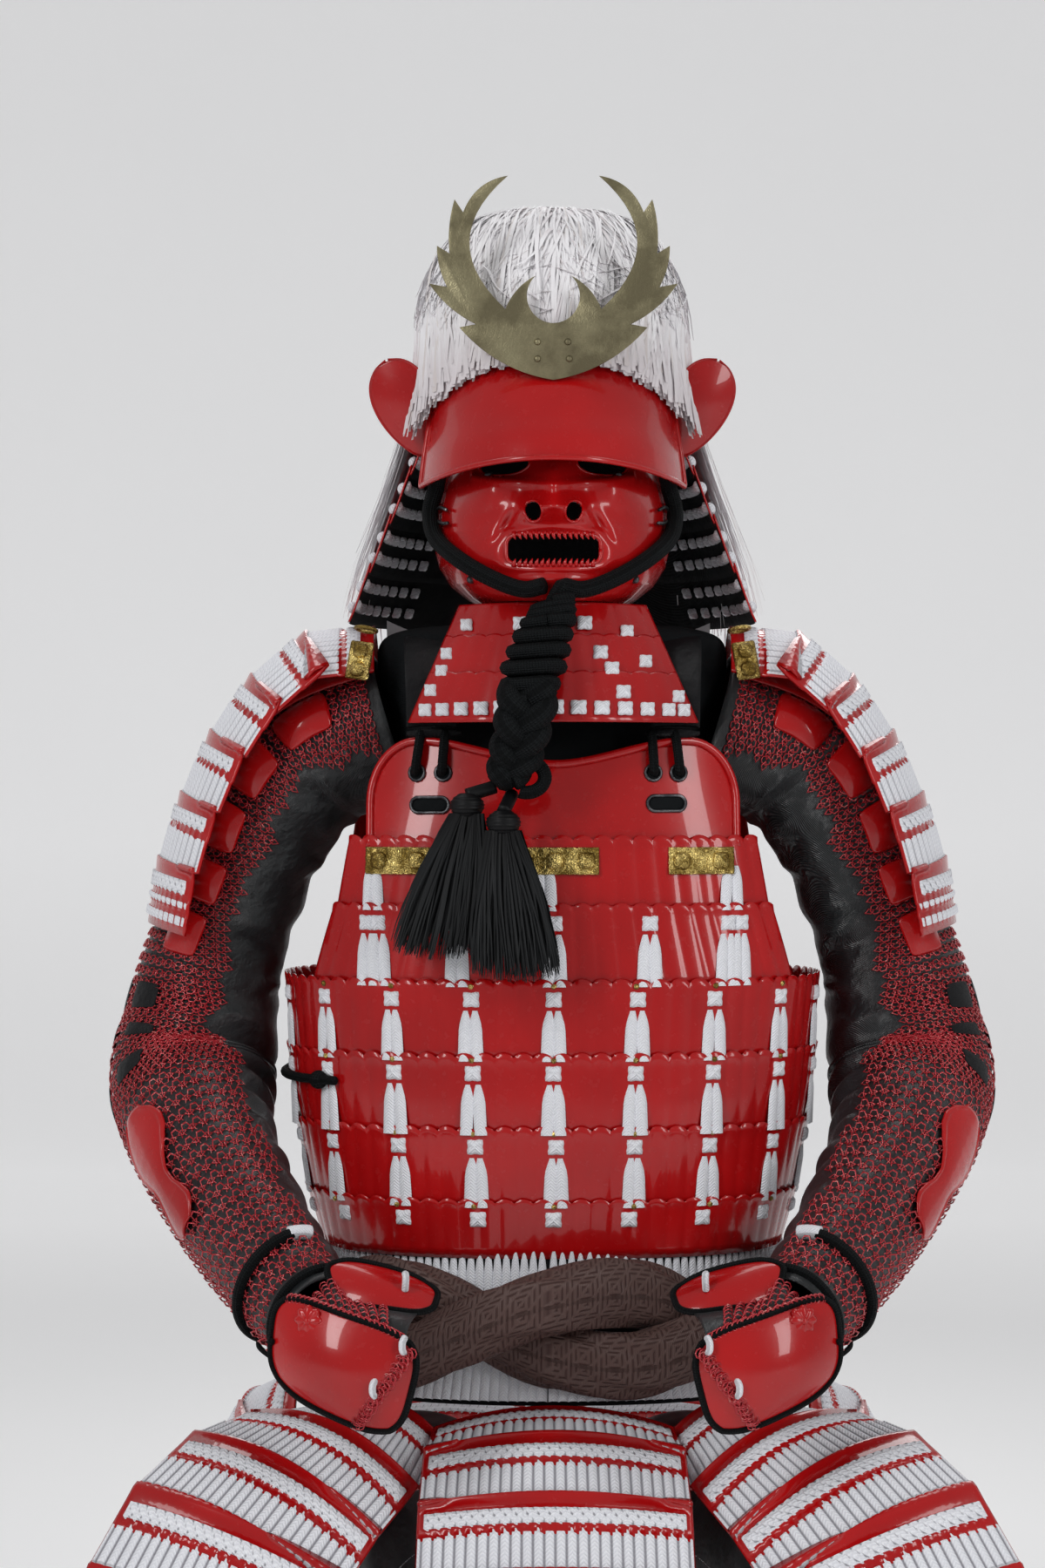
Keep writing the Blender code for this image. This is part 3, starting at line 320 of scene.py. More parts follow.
def make_brocade():
    """Brown sash cloth with a key fret: nested squares in each cell, dashed by a second, offset lattice."""
    finish = Finish("brown_brocade", Specular_IOR_Level=0.25)
    u, v, _ = finish.axes(finish.uv)
    cell = 0.0100
    a, b = u.zigzag(cell), v.zigzag(cell)
    nested = a.math("MAXIMUM", a, b).zigzag(cell / 6)
    steps = (u + v).zigzag(cell / 2)
    line = (((nested - cell / 15) * 900.0).clip() * ((steps - cell / 14) * 700.0).clip()).clip()
    thread = (u * (2 * math.pi / 0.0009)).wave() * 0.5 + 0.5
    finish.set(Base_Color=finish.mix(line, (0.095, 0.055, 0.048), (0.042, 0.018, 0.016)))
    finish.set(Roughness=0.42 + line * 0.2)
    return finish.bump((1.0 - line) * 1.2 + thread * 0.25 + finish.noise(18.0) * 3.0, 0.0012, 0.7).made


def make_hair(name, root, tip, odd_colour, sheen):
    """Hair: u runs from root to tip, v is a number of its own for each lock."""
    finish = Finish(name, Sheen_Weight=sheen, Specular_IOR_Level=0.2)
    u, v, _ = finish.axes(finish.uv)
    down = ((u - 0.02) * 3.2).clip()
    odd = ((v - 0.93) * 60.0).clip()
    colour = finish.mix(down, root, tip)
    colour = finish.mix(odd * 0.3, colour, odd_colour)
    finish.set(Base_Color=finish.mix((v * 0.25).clip(), colour, root), Roughness=0.5 + v * 0.2)
    return finish.made


def make_mail():
    """Red lacquered iron, worn pale in spots."""
    finish = Finish("red_mail", Metallic=0.35, Coat_Weight=0.5, Coat_Roughness=0.15)
    worn = ((finish.noise(420.0) - 0.57) * 5.0).clip()
    colour = finish.mix(worn, (0.44, 0.012, 0.022), (0.70, 0.30, 0.26))
    finish.set(Base_Color=colour, Roughness=0.3 + worn * 0.2)
    return finish.made


LACQUER = make_lacquer()
SILK = make_silk()
LACED = make_laced()
# The second colour of each cloth is its painted sheen.
CLOTH = make_cloth("black_brocade", (0.004, 0.005, 0.006), (0.020, 0.024, 0.026), 0.46, 0.70, 75.0)
# Black velvet for the yoke; the same black is painted shade inside walls and holes.
VELVET_AND_PAINTED_SHADE = make_cloth("black_velvet_and_painted_shade", (0.004, 0.005, 0.006), (0.012, 0.014, 0.015), 0.85)
LEATHER = make_cloth("black_leather", (0.004, 0.004, 0.005), (0.010, 0.010, 0.011), 0.50, 0.20)
CORD = make_cord()
BRASS = make_metal("dull_brass", (0.16, 0.14, 0.085), (0.40, 0.36, 0.22), 0.34, 30.0, 0.06)
GILT = make_metal("gilt", (0.20, 0.13, 0.03), (0.93, 0.72, 0.26), 0.22, 80.0, 0.32)
STEEL = make_metal("dark_metal", (0.05, 0.05, 0.055), (0.28, 0.28, 0.29), 0.25, 90.0, 0.1)
BROCADE = make_brocade()
HAIR = make_hair("white_hair", (0.70, 0.65, 0.67), (0.90, 0.89, 0.91), (0.50, 0.40, 0.30), 0.2)
TASSEL = make_hair(
    "black_silk_threads", (0.003, 0.003, 0.0035), (0.009, 0.010, 0.011), (0.02, 0.02, 0.022), 0.0,
)
MAIL = make_mail()
print("finishes:", len(bpy.data.materials))

# %% [markdown]
# ## Surfaces from arrays
# A piece is an array of points, rows by columns by three, found by formulas on whole arrays. `surface`
# turns such a grid into a mesh with its UV. `copies` lays one small mesh in many places at once, each
# with its own axes.


def unit(vectors):
    """Vectors made one long."""
    return vectors / np.maximum(np.linalg.norm(vectors, axis=-1, keepdims=True), 1e-12)


def joined(*columns):
    """Arrays of matching shapes, spread to one size and joined as the last axis."""
    return np.stack(np.broadcast_arrays(*columns), axis=-1)


def way_along(line):
    """Distance along a line at each of its points."""
    return np.concatenate([[0], np.cumsum(np.linalg.norm(np.diff(line, axis=0), axis=1))])


def area_of(grid):
    """Area of a grid, the sum of its cells as parallelograms."""
    crossed = np.cross(grid[1:, :-1] - grid[:-1, :-1], grid[:-1, 1:] - grid[:-1, :-1])
    return float(np.linalg.norm(crossed, axis=-1).sum())


def grid_cells(rows, columns, closed=False, keep=None):
    """Quads between neighbouring grid points, facing out where rows run down and columns to the right."""
    index = np.arange(rows * columns).reshape(rows, columns)
    left = index if closed else index[:, :-1]
    right = np.roll(index, -1, axis=1) if closed else index[:, 1:]
    cells = np.stack([left[:-1], left[1:], right[1:], right[:-1]], axis=-1)
    return (cells if keep is None else cells[keep]).reshape(-1, 4)


def build(name, points, cells, material, uv=None, replaces=(), smooth=True, **values):
    """A mesh from arrays, riding on the armour. values are named numbers per vertex for the finish to
    read."""
    mesh = bpy.data.meshes.new(name)
    cells = np.ascontiguousarray(cells, dtype=np.int32)
    count, side = cells.shape
    mesh.vertices.add(len(points))
    mesh.vertices.foreach_set("co", np.ascontiguousarray(points, dtype=np.float32).ravel())
    mesh.loops.add(count * side)
    mesh.loops.foreach_set("vertex_index", cells.ravel())
    mesh.polygons.add(count)
    mesh.polygons.foreach_set("loop_start", np.arange(0, count * side, side, dtype=np.int32))
    if uv is not None:
        layer = mesh.uv_layers.new(name="UVMap")
        layer.data.foreach_set("uv", np.ascontiguousarray(uv, dtype=np.float32)[cells.ravel()].ravel())
    for key, number in values.items():
        layer = mesh.attributes.new(key, "FLOAT", "POINT")
        layer.data.foreach_set("value", np.asarray(number, np.float32).ravel())
    mesh.update(calc_edges=True)
    mesh.validate()
    if smooth:
        mesh.shade_smooth()
    mesh.materials.append(material)
    made = bpy.data.objects.new(name, mesh)
    scene.collection.objects.link(made)
    if replaces:
        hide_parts(*replaces)
    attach(made, "root")
    return made


def build_part(name, part, material, replaces=()):
    """One (points, cells, uv) part as a mesh."""
    points, cells, uv = part
    return build(name, points, cells, material, uv, replaces)


def build_pair(name, part, material):
    """A part on the right and its mirror image on the left."""
    points, cells, uv = part
    build(f"{name}_right", points, cells, material, uv)
    build(f"{name}_left", points * [-1, 1, 1], cells[:, ::-1], material, uv)


def surface(name, grid, material, closed=False, keep=None, wall=None, uv=None, **more):
    """One grid as a mesh. The UV is measured in metres along the middle row and column unless it is
    given."""
    rows, columns = grid.shape[:2]
    if uv is None:
        across = way_along(grid[rows // 2])
        down = way_along(grid[:, columns // 2])
        uv = joined(across[None] - across[-1] / 2, down[:, None])
    cells = grid_cells(rows, columns, closed, keep)
    made = build(name, grid.reshape(-1, 3), cells, material, uv.reshape(-1, 2), **more)
    if wall:
        thick = made.modifiers.new("wall", "SOLIDIFY")
        thick.thickness = wall
        thick.offset = -1.0
    return made


def merged(parts):
    """Joins (points, cells, uv) parts into one."""
    shift = np.cumsum([0] + [len(points) for points, _, _ in parts])
    cells = [cells + start for (_, cells, _), start in zip(parts, shift)]
    return np.vstack([p for p, _, _ in parts]), np.vstack(cells), np.vstack([uv for _, _, uv in parts])


def copies(base, centres, right, up, out):
    """The base mesh at each centre, its x, y and z laid along that place's right, up and out directions."""
    points, cells, uv = base
    axes = np.stack([right, up, out], axis=1)
    whole = centres[:, None] + np.einsum("pk,nkc->npc", points, axes)
    shift = np.arange(len(centres))[:, None, None] * len(points)
    cells = (cells[None] + shift).reshape(-1, cells.shape[1])
    return whole.reshape(-1, 3), cells, np.tile(uv, (len(centres), 1))


def rings_round(line, radius, sides, facing):
    """A ring of points round each point of a line, started from the facing direction."""
    along = unit(np.gradient(line, axis=0))
    side = unit(np.cross(along, np.asarray(facing, float)))
    front = np.cross(side, along)
    turn = np.linspace(0, 2 * math.pi, sides, endpoint=False)[None, :, None]
    radius = np.broadcast_to(radius, len(line))[:, None, None]
    return line[:, None] + radius * (np.cos(turn) * front[:, None] - np.sin(turn) * side[:, None])


def tube_part(line, radius, sides=10, facing=(0.0, -1.0, 0.0)):
    """A capped tube along a line as (points, cells, uv), its UV in metres round and along."""
    rings = rings_round(line, radius, sides, facing)
    ends = np.repeat(line[[0, -1]][:, None], sides, axis=1)
    grid = np.vstack([ends[:1], rings, ends[1:]])
    length = way_along(line)
    along = np.concatenate([[0], length, length[-1:]])
    round_way = np.linspace(0, 2 * math.pi, sides, endpoint=False) * float(np.mean(radius))
    uv = joined(round_way[None], along[:, None]).reshape(-1, 2)
    return grid.reshape(-1, 3), grid_cells(*grid.shape[:2], True), uv


def torus_part(radius, thick, around=12, sides=5):
    """A ring in its own x and y."""
    a = np.linspace(0, 2 * math.pi, around, endpoint=False)
    line = np.stack([np.cos(a), np.sin(a), 0 * a], axis=1)
    b = np.linspace(0, 2 * math.pi, sides, endpoint=False)
    grid = line[:, None] * (radius + thick * np.cos(b))[None, :, None]
    grid[..., 2] = thick * np.sin(b)
    grid = np.concatenate([grid, grid[:1]])
    return grid.reshape(-1, 3), grid_cells(around + 1, sides, True), np.zeros((grid.shape[0] * sides, 2))


def squared_off(wave, power):
    """A sine or cosine raised to 2 over the power with its sign kept; over 2 gives squarer corners."""
    return np.sign(wave) * np.abs(wave) ** (2 / power)


def dome_part(wide, tall, high, lobes=0.0, around=16, rings=5, power=2.0):
    """A raised button: a rounded outline, with lobes at its corners, that rises to its height in the
    middle."""
    a = np.linspace(0, 2 * math.pi, around, endpoint=False)[None]
    r = np.linspace(1.0, 0.0, rings)[:, None]
    edge = 1 + lobes * np.cos(4 * (a - math.pi / 4))
    c, s = np.cos(a), np.sin(a)
    x = wide / 2 * edge * r * squared_off(c, power)
    y = tall / 2 * edge * r * squared_off(s, power)
    cross = 1 - 0.25 * (lobes > 0) * np.cos(2 * a) ** 2 * (r > 0.1)
    z = high * np.sqrt(np.clip(1 - r**2, 0, 1)) * cross
    grid = np.stack([x, y, z], axis=-1)
    foot = grid[:1] * [1, 1, 0] + [0, 0, -0.0015]
    grid = np.concatenate([foot, grid])
    uv = grid[..., :2].reshape(-1, 2)
    return grid.reshape(-1, 3), grid_cells(rings + 1, around, True), uv


def through(rows, count):
    """Points of a smooth curve through the rows, by the Catmull-Rom rule."""
    rows = np.asarray(rows, float)
    held = np.vstack([2 * rows[0] - rows[1], rows, 2 * rows[-1] - rows[-2]])
    at = np.linspace(0, len(rows) - 1, count)
    first = np.minimum(at.astype(int), len(rows) - 2)
    t = (at - first)[:, None]
    a, b, c, d = (held[first + k] for k in range(4))
    return 0.5 * (2 * b + (c - a) * t + (2 * a - 5 * b + 4 * c - d) * t**2 + (3 * b - a - 3 * c + d) * t**3)


def evenly_spaced(points, count):
    """The same line with points at equal distances."""
    length = way_along(points)
    wanted = np.linspace(0, length[-1], count)
    return np.stack([np.interp(wanted, length, points[:, k]) for k in range(points.shape[1])], axis=1)


def superellipse(angles, half_width, half_depth, power):
    """A rounded section; the angle is 0 at the front and grows towards +X, in degrees."""
    s, c = np.sin(np.radians(angles)), np.cos(np.radians(angles))
    return half_width * squared_off(s, power), -half_depth * squared_off(c, power)


def flipped(grid):
    """The same surface on the other side of the body."""
    return grid[:, ::-1] * np.array([-1.0, 1.0, 1.0])


# %% [markdown]
# ## The face and the cords that lie on it
# The mask is a rounded section at each height, pushed forward by soft bumps for nose, cheeks, lips and
# chin. The helmet cord follows that surface down both cheeks, is wound and plaited under the chin and
# ends in two tassels. The cords come first because their routes repeat those of the solids.

# %% Face shape
FACE_Z = [0.030, 0.036, 0.046, 0.060, 0.083, 0.100, 0.125, 0.158]
FACE_WIDTH = [0.052, 0.063, 0.076, 0.085, 0.091, 0.089, 0.084, 0.076]
FACE_DEPTH = [0.104, 0.113, 0.119, 0.119, 0.117, 0.115, 0.111, 0.106]
MIRRORED_BUMPS = [(0.010, 0.0165, 0.0935, 0.0095, 0.0090), (0.008, 0.048, 0.108, 0.018, 0.014)]
MIRRORED_BUMPS += [(-0.007, 0.033, 0.132, 0.016, 0.011), (0.006, 0.062, 0.066, 0.018, 0.018)]
MIDDLE_BUMPS = [(0.007, 0.067, 0.040, 0.017), (0.005, 0.044, 0.022, 0.009)]


def bump(x, z, at_x, at_z, wide, tall):
    """A rounded hill of height 1 at a place, as wide and tall as given."""
    return np.exp(-(((x - at_x) / wide) ** 2) - ((z - at_z) / tall) ** 2)


def face_point(angles, z, out=0.0):
    """The mask at an angle from the front and a height, moved out."""
    angles, z, out = np.broadcast_arrays(angles, z, out)
    x, y = superellipse(angles, np.interp(z, FACE_Z, FACE_WIDTH), np.interp(z, FACE_Z, FACE_DEPTH), 2.3)
    tip = np.interp(z, [0.080, 0.088, 0.097, 0.115, 0.140, 0.158], [0.0, 0.45, 1.0, 0.72, 0.38, 0.30])
    forward = 0.030 * tip * np.exp(-((x / (0.0135 + 0.05 * np.maximum(0.12 - z, 0))) ** 2))
    for high, at_x, at_z, wide, tall in MIRRORED_BUMPS:
        pair = bump(x, z, at_x, at_z, wide, tall) + bump(x, z, -at_x, at_z, wide, tall)
        forward = forward + high * pair
    for high, at_z, wide, tall in MIDDLE_BUMPS:
        forward = forward + high * bump(x, z, 0, at_z, wide, tall)
    s, c = np.sin(np.radians(angles)), np.cos(np.radians(angles))
    return np.stack([x + out * s, y - forward - out * c, z], axis=-1)


# %% Chin cord
ON_FACE = [(60, 0.132), (66, 0.118), (68, 0.100), (60, 0.080), (46, 0.063), (30, 0.048), (15, 0.039)]
CORD_RADIUS = 0.0062
route = [face_point(angle, z, CORD_RADIUS + 0.0020) for angle, z in ON_FACE]
route[0] = face_point(*ON_FACE[0], CORD_RADIUS + 0.0064)
strap_line = through([*route, (0.0070, -0.1296, 0.0410)], 56)


def length_of(line):
    """Length of a line of points."""
    return float(np.linalg.norm(np.diff(line, axis=0), axis=1).sum())


KNOT_ROWS = through([
    (0.000, -0.1300, 0.0310, 0.0150), (-0.003, -0.1350, 0.0190, 0.0200),
    (-0.011, -0.1470, -0.0050, 0.0250), (-0.017, -0.1600, -0.0330, 0.0235),
    (-0.022, -0.1680, -0.0600, 0.0220), (-0.028, -0.1570, -0.0850, 0.0200),
    (-0.036, -0.1500, -0.1020, 0.0130),
], 120)


def knot_wraps(turns, first, last, thick):
    """Cord wound round the knot's core between two shares of its length, each turn a little uneven."""
    t = np.linspace(first, last, turns * 26)
    row = np.stack([np.interp(t, np.linspace(0, 1, 120), KNOT_ROWS[:, k]) for k in range(4)], axis=1)
    angle = 2 * math.pi * turns * (t - first) / (last - first)
    wide = row[:, 3] - thick + 0.0007 * np.sin(angle * 0.37 + 1)
    tilt = 0.0035 * np.sin(angle)
    offsets = [wide * np.sin(angle), -0.72 * wide * np.cos(angle), tilt]
    return tube_part(row[:, :3] + np.stack(offsets, axis=1), thick, 8, (0, 0, 1))


def knot_plait(strands, first, last, thick):
    """Strands that pass over and under each other down the lower part of the knot."""
    t = np.linspace(first, last, 60)
    row = np.stack([np.interp(t, np.linspace(0, 1, 120), KNOT_ROWS[:, k]) for k in range(4)], axis=1)
    parts = []
    for number in range(strands):
        angle = 2 * math.pi * (1.35 * (t - first) / (last - first) + number / strands)
        side = (row[:, 3] - thick) * np.sin(angle)
        deep = -0.0060 + 0.0052 * np.sin(2 * angle)
        parts.append(tube_part(row[:, :3] + np.stack([side, deep, 0 * t], axis=1), thick, 12))
    return merged(parts)


loop_angle = np.linspace(-0.4, 2 * math.pi - 1.1, 40)
loop = KNOT_ROWS[-12, :3] + np.stack([
    0.013 * np.sin(loop_angle) + 0.012, -0.006 + 0 * loop_angle, -0.004 - 0.011 * np.cos(loop_angle),
], axis=1)
knot = merged([
    knot_wraps(3, 0.02, 0.20, 0.0050), knot_wraps(5, 0.20, 0.56, 0.0056), knot_plait(3, 0.50, 0.97, 0.0088),
    tube_part(loop, 0.0052, 10),
])
chin_knot = build_part("chin_knot_wound", knot, CORD, ["chin_knot"])
straps = {}
for side_name, sign in (("left", 1), ("right", -1)):
    line = strap_line * [sign, 1, 1]
    if sign > 0:
        core = through([line[-2], line[-1], *KNOT_ROWS[9:120:22, :3]], 60)[8:]
        line = np.vstack([line, core])
    part = tube_part(line, CORD_RADIUS, 16)
    straps[sign] = (line, build_part(f"chin_cord_{side_name}", part, CORD, [f"chin_strap_{side_name}"]))
print("chin cord, each side:", round(length_of(strap_line), 3), "m")

# %% [markdown]
# ### Locks
# Hair and tassel threads are thin ribbons. Every lock follows its own line of points. All are made in one
# array.


# %% Locks and tassels
def locks(paths, width, number):
    """Ribbons along paths, an array of locks by points by three; u runs along the lock and v is the lock's
    number."""
    along = unit(np.gradient(paths, axis=1))
    out = unit(paths - np.array([0, 0, -0.02]))
    side = unit(np.cross(along, out))
    count, length = paths.shape[:2]
    u = np.linspace(0, 1, length)
    half = width[:, None, None] / 2 * (1 - 0.75 * u[None, :, None] ** 3)
    points = np.stack([paths - side * half, paths + side * half], axis=2)
    index = np.arange(count * length * 2).reshape(count, length, 2)
    cells = np.stack([index[:, :-1, 0], index[:, 1:, 0], index[:, 1:, 1], index[:, :-1, 1]], axis=-1)
    uv = joined(u[None, :, None], number[:, None, None])
    uv = np.broadcast_to(uv, (count, length, 2, 2))
    return points.reshape(-1, 3), cells.reshape(-1, 4), uv.reshape(-1, 2)


THREADS = 420
TASSELS = {
    "right": {"head": (-0.0620, -0.1545, -0.1220), "foot": (-0.0830, -0.1560, -0.2270), "spread": 0.035,
              "start": (-0.0060, 0.0, -0.0020)},
    "left": {"head": (-0.0360, -0.1690, -0.1340), "foot": (-0.0260, -0.1780, -0.2420), "spread": 0.031,
             "start": (0.0060, -0.0010, -0.0073)},
}
uneven = np.random.default_rng(41)
on_cord = [chin_knot]
for side_name, size in TASSELS.items():
    head, foot = np.array(size["head"]), np.array(size["foot"])
    start = KNOT_ROWS[-1, :3] + size["start"]
    tail = tube_part(evenly_spaced(np.array([start, head + [0, 0, 0.012]]), 12), 0.0050, 14)
    t = np.linspace(0, 1, 26)
    bead_line = head + np.stack([0 * t, 0 * t, 0.0135 - 0.0180 * t], axis=1)
    bead_radius = 0.0124 * np.sqrt(np.sin(math.pi * (0.04 + 0.92 * t))) + 0.0004 * np.sin(t * 44)
    bead = tube_part(bead_line, bead_radius, 20)
    u, deep = uneven.uniform(-1, 1, THREADS), uneven.uniform(-1, 1, THREADS)
    t = np.linspace(0, 1, 8)[None]
    root = head + np.stack([0.0105 * u, 0.0075 * deep, 0 * u - 0.001], axis=1)
    drop = (head[2] - foot[2]) * (1.0 - 0.06 * u**2) * uneven.uniform(0.90, 1.01, THREADS)
    lean = (foot - head) / (head[2] - foot[2])
    tip_x = head[0] + lean[0] * drop + u * size["spread"]
    tip_y = head[1] + lean[1] * drop + 0.011 * deep
    tip = np.stack([tip_x, tip_y, head[2] - drop], axis=1)
    paths = root[:, None] + (tip - root)[:, None] * t[..., None]
    strength, phase = uneven.normal(0, 0.0014, (THREADS, 1)), uneven.uniform(0, 6, (THREADS, 1))
    sway = strength * np.sin(math.pi * 1.5 * t + phase)
    paths[..., 0] += sway + 0.10 * size["spread"] * u[:, None] * np.sin(math.pi * t)
    threads = locks(paths, np.full(THREADS, 0.0017), uneven.uniform(0, 0.9, THREADS))
    whole = merged([tail, bead, threads])
    tassel = build_part(f"tassel_threads_{side_name}", whole, TASSEL, [f"tassel_{side_name}"])
    on_cord.append(tassel)
for sign, (line, strap) in straps.items():
    on_cord if sign > 0 else ()
print("tassels:", len(TASSELS), "of", THREADS, "threads each")

# %% [markdown]
# ## Cuirass
# The body is a rounded section at each height. Distances round it are turned into angles through a table
# of arc length, so plates and laces keep their real width on the tight curves at the sides. Each row's
# plates are narrow, slightly domed and scalloped at the top, where they stand off the row above and hide
# the ends of its laces.

# %% Body shape
BODY_Z = [-0.47, -0.40, -0.33, -0.25, -0.15, -0.06]
BODY_WIDTH = [0.166, 0.182, 0.194, 0.198, 0.187, 0.165]
BODY_DEPTH = [0.132, 0.137, 0.140, 0.138, 0.126, 0.108]
ROW_TOPS = [-0.143, -0.192, -0.2465, -0.2995, -0.3524, -0.4048]
ROW_LAP = 0.0055
BODY_BOTTOM = -0.444
STAND_OFF = 0.0029
PLATE_WIDTH = 0.0138
FULL_SIZE = 0.334  # half width and half depth, added, from which a row has its full girth


def body_point(angles, z, out=0.0):
    """The cuirass at an angle from the front and a height, moved out."""
    angles, z, out = np.broadcast_arrays(angles, z, out)
    width, depth = np.interp(z, BODY_Z, BODY_WIDTH) + out, np.interp(z, BODY_Z, BODY_DEPTH) + out
    return np.stack([*superellipse(angles, width, depth, 2.5), z], axis=-1)


TABLE_ANGLES = np.linspace(-180, 180, 1441)
TABLE_Z = -0.30
TABLE_WAY = way_along(body_point(TABLE_ANGLES, TABLE_Z))
TABLE_WAY -= np.interp(0, TABLE_ANGLES, TABLE_WAY)
GIRTH = TABLE_WAY[-1] - TABLE_WAY[0]


def body_size(z):
    """Half width and half depth of the cuirass at a height, added."""
    return np.interp(z, BODY_Z, BODY_WIDTH) + np.interp(z, BODY_Z, BODY_DEPTH)


def body_angle(way, z):
    """The angle at a distance round the body from the front middle, in metres."""
    share = way * body_size(TABLE_Z) / body_size(z)
    whole = np.floor((share + GIRTH / 2) / GIRTH)
    return np.interp(share - whole * GIRTH, TABLE_WAY, TABLE_ANGLES) + 360 * whole


def axes_on(point_at, way, z, out):
    """Centres and right, up and out directions on a surface given by point_at(way, z, out)."""
    centre = point_at(way, z, out)
    right = unit(point_at(way + 0.0005, z, out) - point_at(way - 0.0005, z, out))
    up = unit(point_at(way, z + 0.0005, out) - point_at(way, z - 0.0005, out))
    return centre, right, up, unit(np.cross(right, up))


def body_at(way, z, out):
    """The cuirass at a distance round it from the front middle."""
    return body_point(body_angle(way, z), z, out)


def lame_surface(name, top, low, first, last, node, flare=0.0):
    """A row of plates from a distance round the body to another; flare widens it towards its lower edge."""
    way = np.arange(first, last, PLATE_WIDTH / 7)
    plate = np.mod(way / PLATE_WIDTH, 1.0)
    arch = 0.0042 * np.sin(math.pi * plate**0.75) ** 0.6
    share = np.linspace(0, 1, 8)[:, None] ** 1.3
    z = (top + arch)[None] * (1 - share) + low * share
    dome = 0.0007 * (1 - (2 * plate - 1) ** 2) + 0.0005 * plate
    edge = 0.0010 * np.exp(-((share * (top - low) / 0.0022) ** 2))
    grid = body_at(way[None] * (1 + flare * share), z, STAND_OFF * (1 - share) + dome[None] + edge)
    return surface(name, grid, LACQUER, wall=0.0011, replaces=[node])


# %% Plates of the cuirass
FRONT_HALF = [(0.150, 0.11, 1), (0.165, 0.18, 2)]
for half, flare, number in FRONT_HALF:
    top, low = ROW_TOPS[number - 1], ROW_TOPS[number] - ROW_LAP
    lame_surface(f"front_plates_{number}", top, low, -half, half, f"front_lame_{number}", flare)
side = float(np.interp(90, TABLE_ANGLES, TABLE_WAY))
LOWS = [z - ROW_LAP for z in ROW_TOPS[3:]] + [BODY_BOTTOM]
for number, (top, low) in enumerate(zip(ROW_TOPS[2:], LOWS), start=1):
    shrink = min(body_size(top) / FULL_SIZE, 1.0)
    start = -side * shrink + 0.003
    end = start + GIRTH * shrink - 0.006
    lame_surface(f"body_plates_{number}", top, low, start, end, f"body_lame_{number}")
print("girth of the cuirass:", round(GIRTH, 3), "m")

# %% [markdown]
# ## Laces of the cuirass
# Each lace is a leaf-shaped silk strip. Two hang side by side under a square cross knot and vanish under
# the next row.


# %% Laces
def strip_part(width, length, high, lean=0.0):
    """A strip of flat braid that hangs from its own origin: pointed at the top, full below, rounded
    across."""
    v = np.linspace(0, 1, 9)[:, None]
    u = np.linspace(-1, 1, 7)[None]
    half = width / 2 * np.clip(0.30 + 2.2 * v, 0, 1) ** 0.7
    x = u * half + lean * (1 - v)
    z = high * np.sqrt(np.clip(1 - u**2, 0, 1)) * np.clip(0.35 + 2.5 * v, 0, 1) - 0.0004
    grid = joined(x, -length * v, z)
    uv = joined(u * width / 2, -length * v).reshape(-1, 2)
    return grid.reshape(-1, 3), grid_cells(9, 7), uv


LACE_WIDTH = 0.0092


def lace_cells(point_at, way, z_top, z_low, out, knots, strips):
    """Knot and two strips in each cell, with small seeded unevenness."""
    uneven = np.random.default_rng(int(abs(z_top[0] * 1e5)) + len(way))
    way = way + uneven.normal(0, 0.0007, len(way))
    knot = dome_part(0.0128, 0.0120, 0.0030, 0.15, power=2.7)
    parts = [copies(knot, *axes_on(point_at, way, z_top - 0.0105, out + 0.0006))] if knots else []
    length = float(np.mean(z_top - z_low)) - 0.0165
    for side in (-1, 1) if strips else ():
        strip = strip_part(LACE_WIDTH, length, 0.0021, -side * 0.0016)
        tilt = uneven.normal(0, 0.0004, len(way))
        at = way + side * LACE_WIDTH * 0.52 + tilt
        places = axes_on(point_at, at, z_top - 0.0185, out + 0.0004)
        parts.append(copies(strip, *places))
    return parts


SHORT_ROW_LACES = [[-0.130, -0.0055, 0.130], [-0.068, 0.0, 0.068, -0.136, -0.125, 0.125, 0.136]]
LACE_STEP = 0.058
LAST_ROW = len(ROW_TOPS) - 1
row_lows = ROW_TOPS[1:] + [BODY_BOTTOM - 0.003]
parts = []
for number, (top, low) in enumerate(zip(ROW_TOPS, row_lows)):
    if number < len(SHORT_ROW_LACES):
        way = np.array(SHORT_ROW_LACES[number])
    else:
        shrink = min(body_size(top) / FULL_SIZE, 1.0)
        way = np.arange(-4, 14) * LACE_STEP * shrink
        way = way[way < (GIRTH - side) * shrink - 0.02]
    high, deep = np.full(len(way), top), np.full(len(way), low)
    lift = STAND_OFF * 0.62 + 0.0006
    parts += lace_cells(body_at, way, high, deep, lift, knots=number > 0, strips=number < LAST_ROW)
build_part("cuirass_laces", merged(parts), SILK)
rivet = dome_part(0.0042, 0.0042, 0.0012)
way = np.tile(np.arange(-3, 4) * LACE_STEP, 4)
z = np.repeat(np.array(ROW_TOPS[2:]) + 0.0004, 7)
rivets = copies(rivet, *axes_on(body_at, way, z - 0.0015, STAND_OFF + 0.0010))
build_part("cuirass_rivets", rivets, GILT)

# %% [markdown]
# ## Chest plate
# A single smooth plate with a rolled rim, eyelets for the shoulder cords and two oval slots.

# %% Chest plate
CHEST_HALF, CHEST_LOW, EYELET_Z = 0.133, -0.1475, -0.0938


def chest_top(x):
    """Height of the plate's upper edge: a dip in the middle, two shoulders and rounded corners."""
    near = np.clip(np.abs(x) / 0.098, 0, 1)
    far = np.clip((np.abs(x) - 0.098) / (CHEST_HALF - 0.098), 0, 1)
    return -0.086 + 0.017 * near**2 * (3 - 2 * near) - 0.045 * (1 - np.sqrt(1 - far**2))


